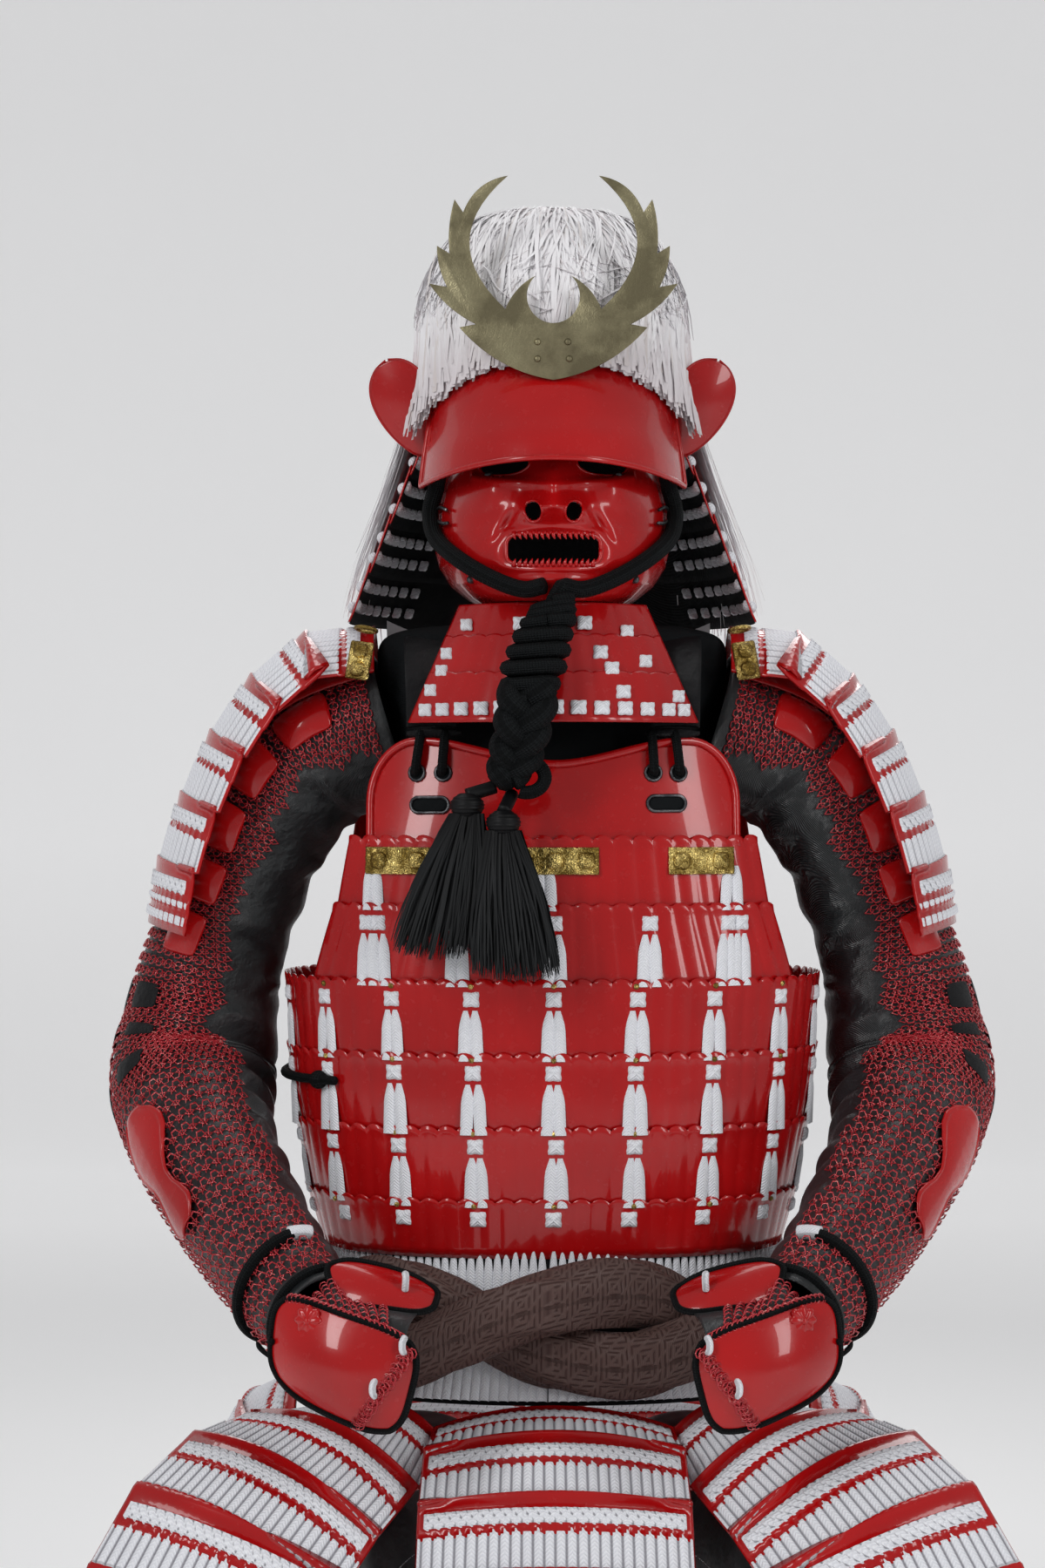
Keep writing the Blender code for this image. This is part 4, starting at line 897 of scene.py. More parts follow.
def x_angle(x, z):
    """The angle at which the cuirass has this x."""
    share = np.minimum(np.abs(x) / np.interp(z, BODY_Z, BODY_WIDTH), 1)
    return np.sign(x) * np.degrees(np.arcsin(share**1.25))


def chest_at(x, z, out):
    """The cuirass at an x and a height."""
    return body_point(x_angle(x, z), z, out)


x = CHEST_HALF * np.sin(np.linspace(-math.pi / 2, math.pi / 2, 121))
share = np.linspace(0, 1, 30)[:, None]
z = chest_top(x)[None] * (1 - share) + CHEST_LOW * share
swell = 0.004 * np.sin(math.pi * share) * np.cos(x / CHEST_HALF * 1.4)[None]
surface("chest", chest_at(x[None], z, swell * 0.5), LACQUER, wall=0.0015, replaces=["chest_plate"])
edge_x = CHEST_HALF * np.sin(np.linspace(-math.pi / 2, math.pi / 2, 90))
edge = chest_at(edge_x, chest_top(edge_x) - 0.0015, 0.0012)
low_ends = chest_at(np.array([-CHEST_HALF, CHEST_HALF]), np.full(2, CHEST_LOW), 0.0012)
edge = np.vstack([low_ends[:1], edge, low_ends[1:]])
build_part("chest_rim", tube_part(evenly_spaced(edge, 110), 0.0030, 10), LACQUER)
eyelet_x = np.array([-0.0984, -0.0794, 0.0719, 0.0903])
eyelet_z = np.full(4, EYELET_Z)
oval_x, oval_z = np.array([-0.0889, 0.0814]), np.array([-0.1172, -0.1160])
eyelets = copies(torus_part(0.0058, 0.0014), *axes_on(chest_at, eyelet_x, eyelet_z, 0.0018))
oval = torus_part(0.0058, 0.0013, 24)
stretch = np.sign(oval[0][:, :1]) * np.array([[0.0085, 0, 0]])
ovals = copies((oval[0] + stretch, oval[1], oval[2]), *axes_on(chest_at, oval_x, oval_z, 0.0018))
build_part("chest_eyelets", merged([eyelets, ovals]), STEEL)
# Flat black discs under the eyelets and ovals: painted shade of holes through the plate.
hole_shade = copies(dome_part(0.0112, 0.0112, 0.0004), *axes_on(chest_at, eyelet_x, eyelet_z, 0.0016))
slot_shade = dome_part(0.0272, 0.0104, 0.0004, power=3.0)
slot_shades = copies(slot_shade, *axes_on(chest_at, oval_x, oval_z, 0.0016))
build_part("chest_hole_shade", merged([hole_shade, slot_shades]), VELVET_AND_PAINTED_SHADE)
parts = []
for x in eyelet_x:
    foot = chest_at(np.array([x]), np.array([EYELET_Z]), 0.0030)[0]
    head = np.array([0.93 * x + 0.005 * np.sign(x), -0.1010, -0.0640])
    rows = [foot + [0, 0.002, 0], foot + [0, -0.003, 0.004], (foot + head) / 2 + [0, -0.0045, 0.002], head]
    parts.append(tube_part(through(rows, 14), 0.0036, 10))
build_part("toggle_cords", merged(parts), CORD)
print("chest plate, rim, eyelets and cords made")

# %% [markdown]
# ## Laced panels
# Shoulder guards and skirt panels share one surface. Down each plate it goes: a red strip, a row of
# slanting braid with a saw-toothed lower edge, a thin red strip, then upright laces side by side that
# tuck under the next plate. The number 'lace' on each vertex tells the finish which part is silk.

# %% Panels
RIB = 0.0076
PANEL_STAND = 0.0045
DOWN_PLATE = [0.0, 0.02, 0.195, 0.205, 0.29, 0.36, 0.385, 0.41, 0.43, 0.50, 0.52, 0.54, 0.56, 0.64, 0.66]
DOWN_PLATE += [0.71, 0.73, 0.84, 0.86, 0.972]


def panel_surface(name, line, facing, half_width, droop, spans, node, flip=False, seed=1, knotted=False):
    """A laced panel along a line: each span is one plate, turned to its facing, curved back by droop.

    knotted gives the last plate knots at the heads of its laces instead of whole laces.
    """
    line, facing, half_width = (np.asarray(v, float) for v in (line, facing, half_width))
    rows = np.column_stack([line, unit(facing), half_width])
    fine = through(rows, 300)
    way = way_along(fine[:, :3])
    even = np.linspace(0, way[-1], spans + 1)
    ends = np.stack([np.interp(even, way, fine[:, k]) for k in range(7)], axis=1)
    uneven = np.random.default_rng(seed)
    t = np.array(DOWN_PLATE)
    widest = float(half_width.max())
    whole = int(2 * widest / RIB)
    u = np.linspace(-1, 1, whole * 4 + 1)
    all_rows, steps, lace, uv = [], [], [], []
    for number in range(spans):
        first, second = ends[number], ends[number + 1]
        pitch = np.linalg.norm(second[:3] - first[:3])
        at = first + (second - first) * t[:, None]
        across = np.repeat(u[None] * RIB * whole / 2, len(t), axis=0)
        wave = np.abs(np.sin(math.pi * across / RIB))
        slant = np.abs(np.sin(math.pi * (across + t[:, None] * pitch * 0.9) / (RIB * 0.9)))
        saw = 0.034 * (1 - 2 * np.abs(np.mod(across / RIB, 1.0) - 0.5))
        inside = np.abs(u)[None] < 0.955
        braid = (t[:, None] > 0.2) & (t[:, None] < 0.390 + saw) & inside
        edge = 0.004 * uneven.normal(0, 1, (1, len(u)))
        ribs = (t[:, None] > 0.550 - 0.050 * wave[:1] + edge) & (np.abs(u)[None] < 0.985)
        if knotted and number == spans - 1:
            ribs &= (np.abs(t[:, None] - 0.575) < 0.065) | (np.abs(t[:, None] - 0.78) < 0.065)
            ribs &= wave > 0.30
        lean = PANEL_STAND * (1 - t[:, None]) + 0.0008 * t[:, None]
        relief = braid * (0.0012 + 0.0011 * slant) + ribs * (0.0004 + 0.0021 * np.sqrt(wave)) - 0.0003
        lip = 0.0009 * (t[:, None] < 0.03)
        lay = np.where(t < 0.40, (t - 0.2) * pitch * 0.8, 0.0)[:, None]
        all_rows.append(at)
        steps.append(lean + relief + lip)
        lace.append((braid | ribs).astype(float))
        from_middle = np.abs(np.mod(across + lay, RIB) - RIB / 2)
        uv.append(joined(from_middle, -pitch * t[:, None]))
    at = np.vstack(all_rows)
    steps, lace, uv = np.vstack(steps), np.vstack(lace), np.vstack(uv)
    centre, normal, half = at[:, :3], at[:, 3:6], at[:, 6]
    along = unit(np.gradient(centre, axis=0))
    normal = unit(normal - (normal * along).sum(1, keepdims=True) * along)
    across = np.cross(normal, along)
    flat = centre[:, None] + (half[:, None] * u)[..., None] * across[:, None]
    flat = flat - (droop * u**2)[None, :, None] * normal[:, None]
    grid = flat + steps[..., None] * normal[:, None]
    if flip:
        grid, lace, uv = flipped(grid), lace[:, ::-1], uv[:, ::-1]
    surface(name, grid, LACED, uv=uv, replaces=[node], lace=lace, wall=0.0022)


GUARD_SPANS = 6
GUARD = {
    "x": [-0.134, -0.160, -0.186, -0.210, -0.234, -0.255, -0.273, -0.289, -0.301, -0.306],
    "z": [0.013, 0.014, 0.010, -0.007, -0.031, -0.062, -0.098, -0.141, -0.180, -0.207],
    "half": [0.062, 0.070, 0.078, 0.082, 0.084, 0.086, 0.087, 0.088, 0.088, 0.088],
}
guard_x, guard_z = np.array(GUARD["x"]), np.array(GUARD["z"])
guard_line = np.column_stack([guard_x, np.full_like(guard_x, 0.004), guard_z])
guard_way = unit(np.gradient(guard_line, axis=0))
guard_out = np.column_stack([guard_way[:, 2], np.zeros_like(guard_x), -guard_way[:, 0]])
for side_name, flip in (("right", False), ("left", True)):
    node = f"shoulder_guard_{side_name}"
    panel_surface(
        f"shoulder_panel_{side_name}", guard_line, guard_out, GUARD["half"], 0.036, GUARD_SPANS, node, flip,
        knotted=True,
    )
SKIRT = {
    "front": {
        "line": [(0, -0.1585, -0.5499), (0, -0.203, -0.5540), (0, -0.245, -0.5800), (0, -0.279, -0.6270),
                 (0, -0.303, -0.6800), (0, -0.320, -0.7360)],
        "facing": [(0, -0.25, 1), (0, -0.45, 1), (0, -1, 1), (0, -1, 0.55), (0, -1, 0.35), (0, -1, 0.2)],
        "half": [0.086, 0.091, 0.094, 0.096, 0.097, 0.098], "droop": 0.016, "spans": 5,
    },
    "front_right": {
        "line": [(-0.1235, -0.1275, -0.5490), (-0.158, -0.188, -0.5600), (-0.192, -0.240, -0.5800),
                 (-0.219, -0.278, -0.6110), (-0.240, -0.303, -0.6560), (-0.255, -0.318, -0.7080)],
        "facing": [(-0.1, -0.40, 1), (0.1, -0.47, 0.9), (0.2, -0.50, 0.85), (0.1, -0.75, 0.75),
                   (-0.05, -1, 0.45), (-0.1, -1, 0.25)],
        "half": [0.050, 0.074, 0.079, 0.083, 0.086, 0.088], "droop": 0.020, "spans": 5,
    },
    "side_right": {
        "line": [(-0.1825, 0.020, -0.5486), (-0.232, 0.036, -0.5730), (-0.262, 0.040, -0.6200),
                 (-0.280, 0.044, -0.6730), (-0.292, 0.048, -0.7280)],
        "facing": [(-0.5, 0.1, 1), (-1, 0.1, 0.8), (-1, 0.1, 0.45), (-1, 0.1, 0.3), (-1, 0.1, 0.2)],
        "half": [0.060, 0.070, 0.078, 0.082, 0.085], "droop": 0.022, "spans": 4,
    },
    "back_right": {
        "line": [(-0.076, 0.1500, -0.5466), (-0.092, 0.188, -0.5980), (-0.099, 0.206, -0.6500),
                 (-0.104, 0.218, -0.7050), (-0.107, 0.226, -0.7600)],
        "facing": [(-0.35, 1, 0.6), (-0.35, 1, 0.4), (-0.3, 1, 0.3), (-0.3, 1, 0.2), (-0.3, 1, 0.2)],
        "half": [0.064, 0.072, 0.078, 0.082, 0.084], "droop": 0.016, "spans": 4,
    },
}
for seed, (place, panel) in enumerate(SKIRT.items()):
    shape = (panel["line"], panel["facing"], panel["half"], panel["droop"], panel["spans"])
    panel_surface(f"skirt_panel_{place}", *shape, f"skirt_{place}", False, seed)
    if place.endswith("_right"):
        other = place.replace("_right", "_left")
        panel_surface(f"skirt_panel_{other}", *shape, f"skirt_{other}", True, seed + 10)

# %% [markdown]
# ## Mask
# The face is a fine grid of that same surface. Cells inside the mouth, the nostrils and the eyes are left
# out. A rim tube finishes each hole and a row of small hooked teeth lines the mouth.


# %% Mask
def x_of_face(x, z):
    """The angle at which the mask has this x."""
    share = np.clip(np.abs(x) / np.interp(z, FACE_Z, FACE_WIDTH), 0, 1)
    return np.sign(x) * np.degrees(np.arcsin(share**1.15))


def carved(points):
    """Pushes points of the mask forward or back: cheekbones, hollows under the eyes, folds, lips and nose
    wings."""
    x, z = np.abs(points[..., 0]), points[..., 2]
    across, along = (x - 0.024) * 0.814 + (z - 0.100) * 0.581, (x - 0.024) * 0.581 - (z - 0.100) * 0.814
    fold = np.exp(-(((along - 0.018) / 0.017) ** 4))
    ridge = 0.0024 * np.exp(-(((across - 0.0068) / 0.0050) ** 2))
    forward = fold * (ridge - 0.0030 * np.exp(-((across / 0.0028) ** 2)))
    lip = ((x / 0.0345) ** 4 + (np.abs(z - 0.068) / 0.0122) ** 4) ** 0.25
    forward = forward + 0.0024 * np.exp(-(((lip - 1.20) / 0.17) ** 2))
    forward = forward + 0.0042 * bump(x, z, 0.046, 0.1165, 0.014, 0.008)
    forward = forward - 0.0026 * bump(x, z, 0.036, 0.1225, 0.016, 0.0035)
    forward = forward + 0.0030 * bump(x, z, 0.0235, 0.0930, 0.0055, 0.0085)
    return points - forward[..., None] * np.array([0.0, 1.0, 0.0])


def face_at(x, z, out=0.0):
    """The carved mask at an x and a height."""
    return carved(face_point(x_of_face(x, z), z, out))


def with_painted_shade_inside(made, shade_finish):
    """Gives the wall's inner side a second, black finish: painted shade inside the part."""
    made.data.materials.append(shade_finish)
    for modifier in made.modifiers:
        modifier.material_offset = 1
    return made


HOLES = {
    "mouth": (0.0, 0.0680, 0.0345, 0.0122, 0.0, 4.0),
    "nostril_left": (0.0148, 0.0950, 0.0064, 0.0078, 0.35, 2.2),
    "nostril_right": (-0.0148, 0.0950, 0.0064, 0.0078, -0.35, 2.2),
    "eye_left": (0.0355, 0.1315, 0.0185, 0.0085, 0.1, 2.4),
    "eye_right": (-0.0355, 0.1315, 0.0185, 0.0085, -0.1, 2.4),
}
z = np.linspace(0.156, 0.031, 116)[:, None]
angles = np.linspace(-1, 1, 190)[None]
angles = 86 * np.sign(angles) * np.abs(angles) ** 1.25
face = carved(face_point(angles, z))
over_fold = face[..., 2] - 0.1135 - 0.16 * np.abs(face[..., 0])
face[..., 1] -= 0.0035 * np.exp(-((over_fold / 0.0035) ** 2)) * (np.abs(face[..., 0]) < 0.06)
middle = (face[:-1, :-1] + face[1:, 1:]) / 2
keep = np.ones(middle.shape[:2], bool)
for at_x, at_z, half_x, half_z, tilt, power in HOLES.values():
    dx, dz = middle[..., 0] - at_x, middle[..., 2] - at_z
    along, up = dx * math.cos(tilt) - dz * math.sin(tilt), dx * math.sin(tilt) + dz * math.cos(tilt)
    keep &= (np.abs(along) / half_x) ** power + (np.abs(up) / half_z) ** power > 1
mask = surface("face_mask", face, LACQUER, keep=keep, wall=0.0016, replaces=["mask"])
# The mask's inner side is painted black as shade.
with_painted_shade_inside(mask, VELVET_AND_PAINTED_SHADE)
rims = []
for name, (at_x, at_z, half_x, half_z, tilt, power) in HOLES.items():
    a = np.linspace(0, 2 * math.pi, 64)
    c, s = np.cos(a), np.sin(a)
    along, up = half_x * squared_off(c, power), half_z * squared_off(s, power)
    ring_x = at_x + along * math.cos(tilt) + up * math.sin(tilt)
    ring_z = at_z - along * math.sin(tilt) + up * math.cos(tilt)
    rims.append(tube_part(face_at(ring_x, ring_z, -0.0002), 0.0016 if name == "mouth" else 0.0011, 8))
tooth_radii = np.array([0.0020, 0.0014, 0.0003])
for at, up in ((0.0794, -1), (0.0566, 1)):
    tooth = np.array([[0, 0, -0.001 * up], [0, -0.0010, 0.0018 * up], [0.0012, -0.0016, 0.0044 * up]])
    for x in np.linspace(-0.0285, 0.0285, 15):
        rims.append(tube_part(face_at(x, at, 0.0003) + tooth, tooth_radii, 8))
build_part("mask_rims", merged(rims), LACQUER)
hooks, stud = [], dome_part(0.0062, 0.0062, 0.0024)
rightwards, upwards = np.array([[1.0, 0, 0]]), np.array([[0, 0, 1.0]])
for sign in (-1, 1):
    rows = [(0.0745, 0.100), (0.0800, 0.103), (0.0835, 0.097), (0.0790, 0.091), (0.0735, 0.090)]
    hook = [face_at(sign * x, z, 0.0022) + [sign * 0.002, 0, 0] for x, z in rows]
    hooks.append(tube_part(through(hook, 24), 0.0013, 8))
    facing = unit(np.array([[sign * 0.4, -1.0, 0]]))
    for x, z in ((0.0470, 0.1235), (0.0700, 0.0660), (0.0600, 0.0480)):
        at = face_at(np.array([sign * x]), np.array([z]), 0.0004)
        hooks.append(copies(stud, at, rightwards, upwards, facing))
build_part("mask_hooks", merged(hooks), STEEL)

# %% [markdown]
# ## Throat guard
# Three rows spread from under the chin over the chest, each standing off the one above. Their white knots
# lie where the photo shows them, and a closer line of knots follows the lower edge.

# %% Throat guard
GUARD_EDGES = [(0.0306, -0.0010), (0.0055, -0.0290), (-0.0220, -0.0570)]


def guard_at(x, z, out=0.0):
    """The throat guard at an x and a height: wider and further forward as it comes down over the chest."""
    x, z, out = np.broadcast_arrays(x, z, out)
    down = 0.0295 - z
    share = x / (0.0700 + 0.415 * down)
    return np.stack([x, -0.1055 - 0.500 * down + 0.046 * share**2 - out, z], axis=-1)


for number, (top, low) in enumerate(GUARD_EDGES):
    share = np.linspace(-1, 1, 110)[None]
    plates = np.mod(share * 6.5, 1.0)
    arch = 0.0022 * np.sin(math.pi * plates) ** 0.5 * (number > 0)
    t = np.linspace(0, 1, 14)[:, None] ** 1.2
    z = (top + arch) * (1 - t) + low * t
    stand = 0.0037 if number else 0.0
    lip = 0.0008 * np.exp(-(((1 - t) / 0.10) ** 2))
    out = stand * (1 - t) + lip + 0.0006 * np.sin(math.pi * plates)
    half = 0.0700 + 0.415 * (0.0295 - z)
    grid = guard_at(half * share, z, out)
    node = f"throat_lame_{number + 1}"
    made = surface(f"throat_plates_{number + 1}", grid, LACQUER, wall=0.0013, replaces=[node])
    # Inner side painted black as shade.
    with_painted_shade_inside(made, VELVET_AND_PAINTED_SHADE)
KNOTS = np.array([
    (-0.0640, 0.0153), (0.0230, 0.0155), (0.0545, 0.0100), (-0.0240, 0.0150), (-0.0785, -0.0061),
    (-0.0820, -0.0190), (0.0344, -0.0061), (0.0426, -0.0180), (0.0678, -0.0120), (-0.0260, -0.0100),
    (-0.0899, -0.0333), (0.0508, -0.0350), (0.0918, -0.0377),
])
low_x = [-0.0937, -0.0810, -0.0672, -0.0527, -0.0380, -0.0240, -0.0110]
low_x += [0.0016, 0.0180, 0.0350, 0.0520, 0.0684, 0.0842, 0.0955]
knot_x = np.concatenate([KNOTS[:, 0], low_x])
knot_z = np.concatenate([KNOTS[:, 1], -0.0462 - 0.0015 * np.abs(low_x) / 0.09])
centre, right, up, out = axes_on(guard_at, knot_x, knot_z, 0.0036)
knot = dome_part(0.0124, 0.0118, 0.0030, 0.15, power=2.7)
dots = copies(knot, centre, right, up, -out * np.sign(out[:, 1:2]))
build_part("throat_laces", dots, SILK)
print("throat guard:", len(GUARD_EDGES), "rows,", len(knot_x), "knots")

# %% [markdown]
# ## Helmet
# The brow plate is one smooth red shell with a rolled lower edge. The crest is cut from one outline. The
# neck guard's rows flare out, black inside as painted shade, with small white ties at their front edges.

# %% Brow, turnbacks and crest
BROW = {"z": [0.212, 0.188, 0.165], "width": [0.0840, 0.0940, 0.0975], "depth": [0.0986, 0.1160, 0.1320]}
angles = np.linspace(-70, 70, 121)
rows = [
    np.stack([*superellipse(angles, w, d, 2.1), np.full_like(angles, z)], axis=-1)
    for z, w, d in zip(*BROW.values())
]
edge_x, edge_y = superellipse(angles, 0.1040, 0.1530, 2.1)
edge = np.stack([edge_x, edge_y, 0.1315 - 0.0145 * np.sin(np.radians(angles)) ** 2], axis=-1)
rows += [rows[-1] * 0.48 + edge * 0.52 + np.array([0, -0.0015, 0.0015]), edge]
rows = np.array(rows)
brow = through(rows.reshape(5, -1), 60).reshape(60, len(angles), 3)
# Inner side painted black as shade.
with_painted_shade_inside(surface("brow_plate", brow, LACQUER, wall=0.0018, replaces=["helmet_brow"]), VELVET_AND_PAINTED_SHADE)
outline = np.concatenate([brow[::3, 0], brow[-1, ::2], brow[::-3, -1]])
rolled = tube_part(evenly_spaced(outline, 170), 0.0021, 10)
build_part("brow_rim", rolled, LACQUER)
t = np.linspace(0, 1, 60)[:, None]
half = 0.0255 * np.sqrt(np.clip(1 - (2 * t - 1) ** 2, 0.001, 1)) * (1.12 - 0.42 * t)
foot = np.array([-0.0950, -0.0230, 0.1450])
head = foot + 0.076 * unit(np.array([-0.38, -0.20, 0.92]))
facing = unit(np.array([-0.28, -0.95, 0.10]))
across = unit(np.cross(facing, foot - head))
spread = np.linspace(-1, 1, 50)[None]
dish = 0.006 * (1 - spread**2) * np.sin(math.pi * t) + 0.0014 * (np.abs(spread) > 0.93) * np.ones_like(t)
ear = head + t[..., None] * (foot - head) + (half * spread)[..., None] * across + dish[..., None] * facing
for side_name, grid in (("right", ear), ("left", flipped(ear))):
    surface(f"turned_back_{side_name}", grid, LACQUER, wall=0.0015, replaces=[f"turnback_{side_name}"])
CREST = {
    "x": [0.0, 0.0683, 0.0562, 0.0902, 0.0770, 0.0845, 0.0753, 0.0717, 0.0655, 0.0329, 0.0348, 0.0130],
    "z": [0.0, 0.0373, 0.0395, 0.0683, 0.0658, 0.0951, 0.0896, 0.1280, 0.1188, 0.1447, 0.0503, 0.0739],
    "bow": [-0.007, 0.0, -0.003, 0.0, -0.002, 0.0, -0.002, 0.0, -0.006, 0.0270, -0.003, 0.0],
}
CREST_FOOT, CREST_TALL = 0.1908, 1.024


def bowed(start, end, bow, count):
    """Points on a shallow arc that bows to the left of the way from start to end."""
    t = np.linspace(0, 1, count, endpoint=False)[:, None]
    left = unit(np.array([start[1] - end[1], end[0] - start[0]]))
    return start + (end - start) * t + 4 * bow * t * (1 - t) * left


corner = np.column_stack([CREST["x"], CREST["z"]])
arcs = [bowed(corner[k], corner[k + 1], CREST["bow"][k], 14) for k in range(11)]
first = math.atan2(0.0739 - 0.0596, 0.0130)
a = np.linspace(first, -math.pi / 2, 20)
arcs.append(np.stack([0.0192 * np.cos(a), 0.0596 + 0.0192 * np.sin(a)], axis=1))
half_line = np.vstack(arcs)
whole_line = np.vstack([half_line, (half_line * [-1, 1])[-2:0:-1]])
crest_z = whole_line[:, 1] * CREST_TALL + CREST_FOOT
flat = np.column_stack([whole_line[:, 0], np.full(len(whole_line), -0.1175), crest_z])
outline = np.arange(len(flat))[None]
crest = build("brass_crest", flat, outline, BRASS, flat[:, [0, 2]], ["crest"], smooth=False)
thick = crest.modifiers.new("wall", "SOLIDIFY")
thick.thickness = 0.0012
thick.offset = -1.0
soft = crest.modifiers.new("edge", "BEVEL")
soft.width = 0.0003
soft.segments = 2
at = np.array([(-0.0115, 0.0270), (0.0105, 0.0270), (-0.0115, 0.0150), (0.0115, 0.0150)])
centre = np.column_stack([at[:, 0], np.full(4, -0.1177), at[:, 1] * CREST_TALL + CREST_FOOT])
axes = [np.tile(v, (4, 1)) for v in ((1.0, 0, 0), (0, 0, 1.0), (0, -1.0, 0))]
pins = copies(dome_part(0.0050, 0.0050, 0.0014), centre, *axes)
build_part("crest_pins", pins, BRASS)

# %% [markdown]
# ### Bowl and neck guard
# The bowl is half of a ribbed ball under the hair. Four rows flare from it as parts of one cone, each
# standing off the row above, with pairs of small ties outside and inside.

# %% Bowl and neck guard
z = np.concatenate([np.linspace(0, 0.995, 30), [1.0]])[:, None]
angles = np.linspace(0, 360, 96, endpoint=False)[None]
ribs = 1 + 0.004 * np.cos(np.radians(angles) * 16)
x, y = superellipse(angles, 0.092 * np.sqrt(1 - z**2) * ribs, 0.108 * np.sqrt(1 - z**2) * ribs, 2.0)
bowl = joined(x, y, 0.165 + 0.108 * z)[::-1]
# Inner side painted black as shade.
with_painted_shade_inside(surface("bowl", bowl, LACQUER, closed=True, wall=0.002, replaces=["helmet_bowl"]), VELVET_AND_PAINTED_SHADE)


def neck_at(angles, z, out=0.0):
    """The neck guard's cone at an angle from the front."""
    down = (0.168 - z) / 0.148
    width, depth = 0.0922 + (0.154 - 0.0922) * down + out, 0.1082 + (0.170 - 0.1082) * down + out
    return joined(*superellipse(angles, width, depth, 2.1), z)


OUTER_TIES = np.concatenate([np.arange(83, 279, 9.8), [86.5, 273.5]])
INNER_TIES = np.concatenate([np.arange(83.5, 132, 6), np.arange(228.5, 278, 6)])
ties, small_tie = [], dome_part(0.0090, 0.0086, 0.0024, 0.10, 12, 3, power=3.2)
for number in range(4):
    top, low = 0.168 - 0.037 * number + (ROW_LAP if number else 0), 0.168 - 0.037 * (number + 1)
    angles = np.linspace(81, 279, 260)[None]
    plates = np.mod(angles / 3.6, 1.0)
    t = np.linspace(0, 1, 10)[:, None]
    z = (top + 0.0015 * np.sin(math.pi * plates) * (number > 0)) * (1 - t) + low * t
    lip = 0.0008 * np.exp(-(((1 - t) / 0.12) ** 2))
    grid = neck_at(angles, z, (STAND_OFF if number else 0.0020) * (1 - t) + lip)
    node = f"neck_lame_{number + 1}"
    made = surface(f"neck_plates_{number + 1}", grid, LACQUER, wall=0.0014, replaces=[node])
    # Inner side painted black as shade.
    with_painted_shade_inside(made, VELVET_AND_PAINTED_SHADE)
    for out_side in (1, -1):
        spots = OUTER_TIES if out_side > 0 else INNER_TIES
        for share in (0.35, 0.72):
            height = np.full(len(spots), top * (1 - share) + low * share)
            lift = 0.0030 if out_side > 0 else -0.0024
            centre, right, up, out = axes_on(neck_at, spots, height, lift)
            facing_way = out * np.sign((out * centre * [1, 1, 0]).sum(1, keepdims=True)) * out_side
            ties.append(copies(small_tie, centre, right * out_side, up, facing_way))
build_part("neck_ties", merged(ties), SILK)
print("neck guard: sets of ties", len(ties))

# %% [markdown]
# ## Hair
# Locks start at the brow line and the crown and follow the shell's profile. Those at the front sweep up
# and round to the sides. The others fall over the neck guard. Their ends stray a little from the shell.

# %% Hair
HAIR_ROWS = through([
    (0.333, 0.000, 0.000, 0.000), (0.327, 0.050, 0.045, 0.060), (0.307, 0.080, 0.075, 0.095),
    (0.268, 0.099, 0.100, 0.125), (0.222, 0.104, 0.109, 0.138), (0.175, 0.112, 0.120, 0.148),
    (0.125, 0.128, 0.120, 0.165), (0.075, 0.147, 0.120, 0.180), (0.030, 0.1605, 0.120, 0.192),
    (-0.020, 0.160, 0.120, 0.196),
], 90)
ROW_SHARE = np.linspace(0, 1, 90)


def hair_at(angles, share, size):
    """The hair shell at an angle and a share of its way down from the crown."""
    z, width, front, rear = (np.interp(share, ROW_SHARE, HAIR_ROWS[:, k]) for k in range(4))
    depth = np.where(np.cos(np.radians(angles)) < 0, rear, front)
    height = 0.17 + (z - 0.17) * (0.6 + 0.4 * size)
    return joined(*superellipse(angles, width * size, depth * size, 2.1), height)


FRONT_LOCKS, OTHER_LOCKS = 2300, 5200
uneven = np.random.default_rng(7)
t = np.linspace(0, 1, 8)[None]


def hair_group(count, angle, start, end, drift):
    """Paths of locks that start at an angle and a share of the way down, drift and wander."""
    size = uneven.uniform(0.925, 1.005, (count, 1)) + 0.02 * t**3 * uneven.normal(0, 1, (count, 1))
    wave = 3.0 * np.sin(t * 5 + uneven.uniform(0, 6, (count, 1))) * t
    wander = wave + uneven.normal(0, 3, (count, 1)) * t
    share = start[:, None] + (end - start)[:, None] * t
    return hair_at(angle[:, None] + drift[:, None] * t + wander, share, size)


count = FRONT_LOCKS
angle = uneven.uniform(-84, 84, count)
lower = np.where(np.abs(angle) < 72, 0.100 * (np.abs(angle) / 66) ** 2, 0)
start = 0.470 + lower + uneven.uniform(-0.05, 0.015, count)
end = uneven.uniform(0.06, 0.26, count)
drift = angle * 0.22 + uneven.uniform(-16, 16, count)
front_locks = hair_group(count, angle, start, end, drift)
count = OTHER_LOCKS
angle = uneven.uniform(0, 360, count)
start = uneven.uniform(0.01, 0.40, count)
side = np.minimum(angle, 360 - angle)
sign = np.where(angle < 180, 1, -1)
reach = np.clip((side - 86) / 30, 0, 1)
end = np.where(side < 92, uneven.uniform(0.30, 0.42, count), start + uneven.uniform(0.30, 0.62, count))
end = np.minimum(end, 0.90 + 0.10 * np.clip((side - 112) / 12, 0, 1) * uneven.uniform(0.4, 1, count))
drift_front, drift_rear = uneven.uniform(6, 30, count), uneven.uniform(-6, 8, count)
drift = sign * np.where(side < 92, drift_front, drift_rear * (side < 165))
all_locks = np.concatenate([front_locks, hair_group(count, angle, start, end, drift)])
width = uneven.uniform(0.0016, 0.0042, len(all_locks))
hair = locks(all_locks, width, uneven.uniform(0, 1, len(all_locks)))
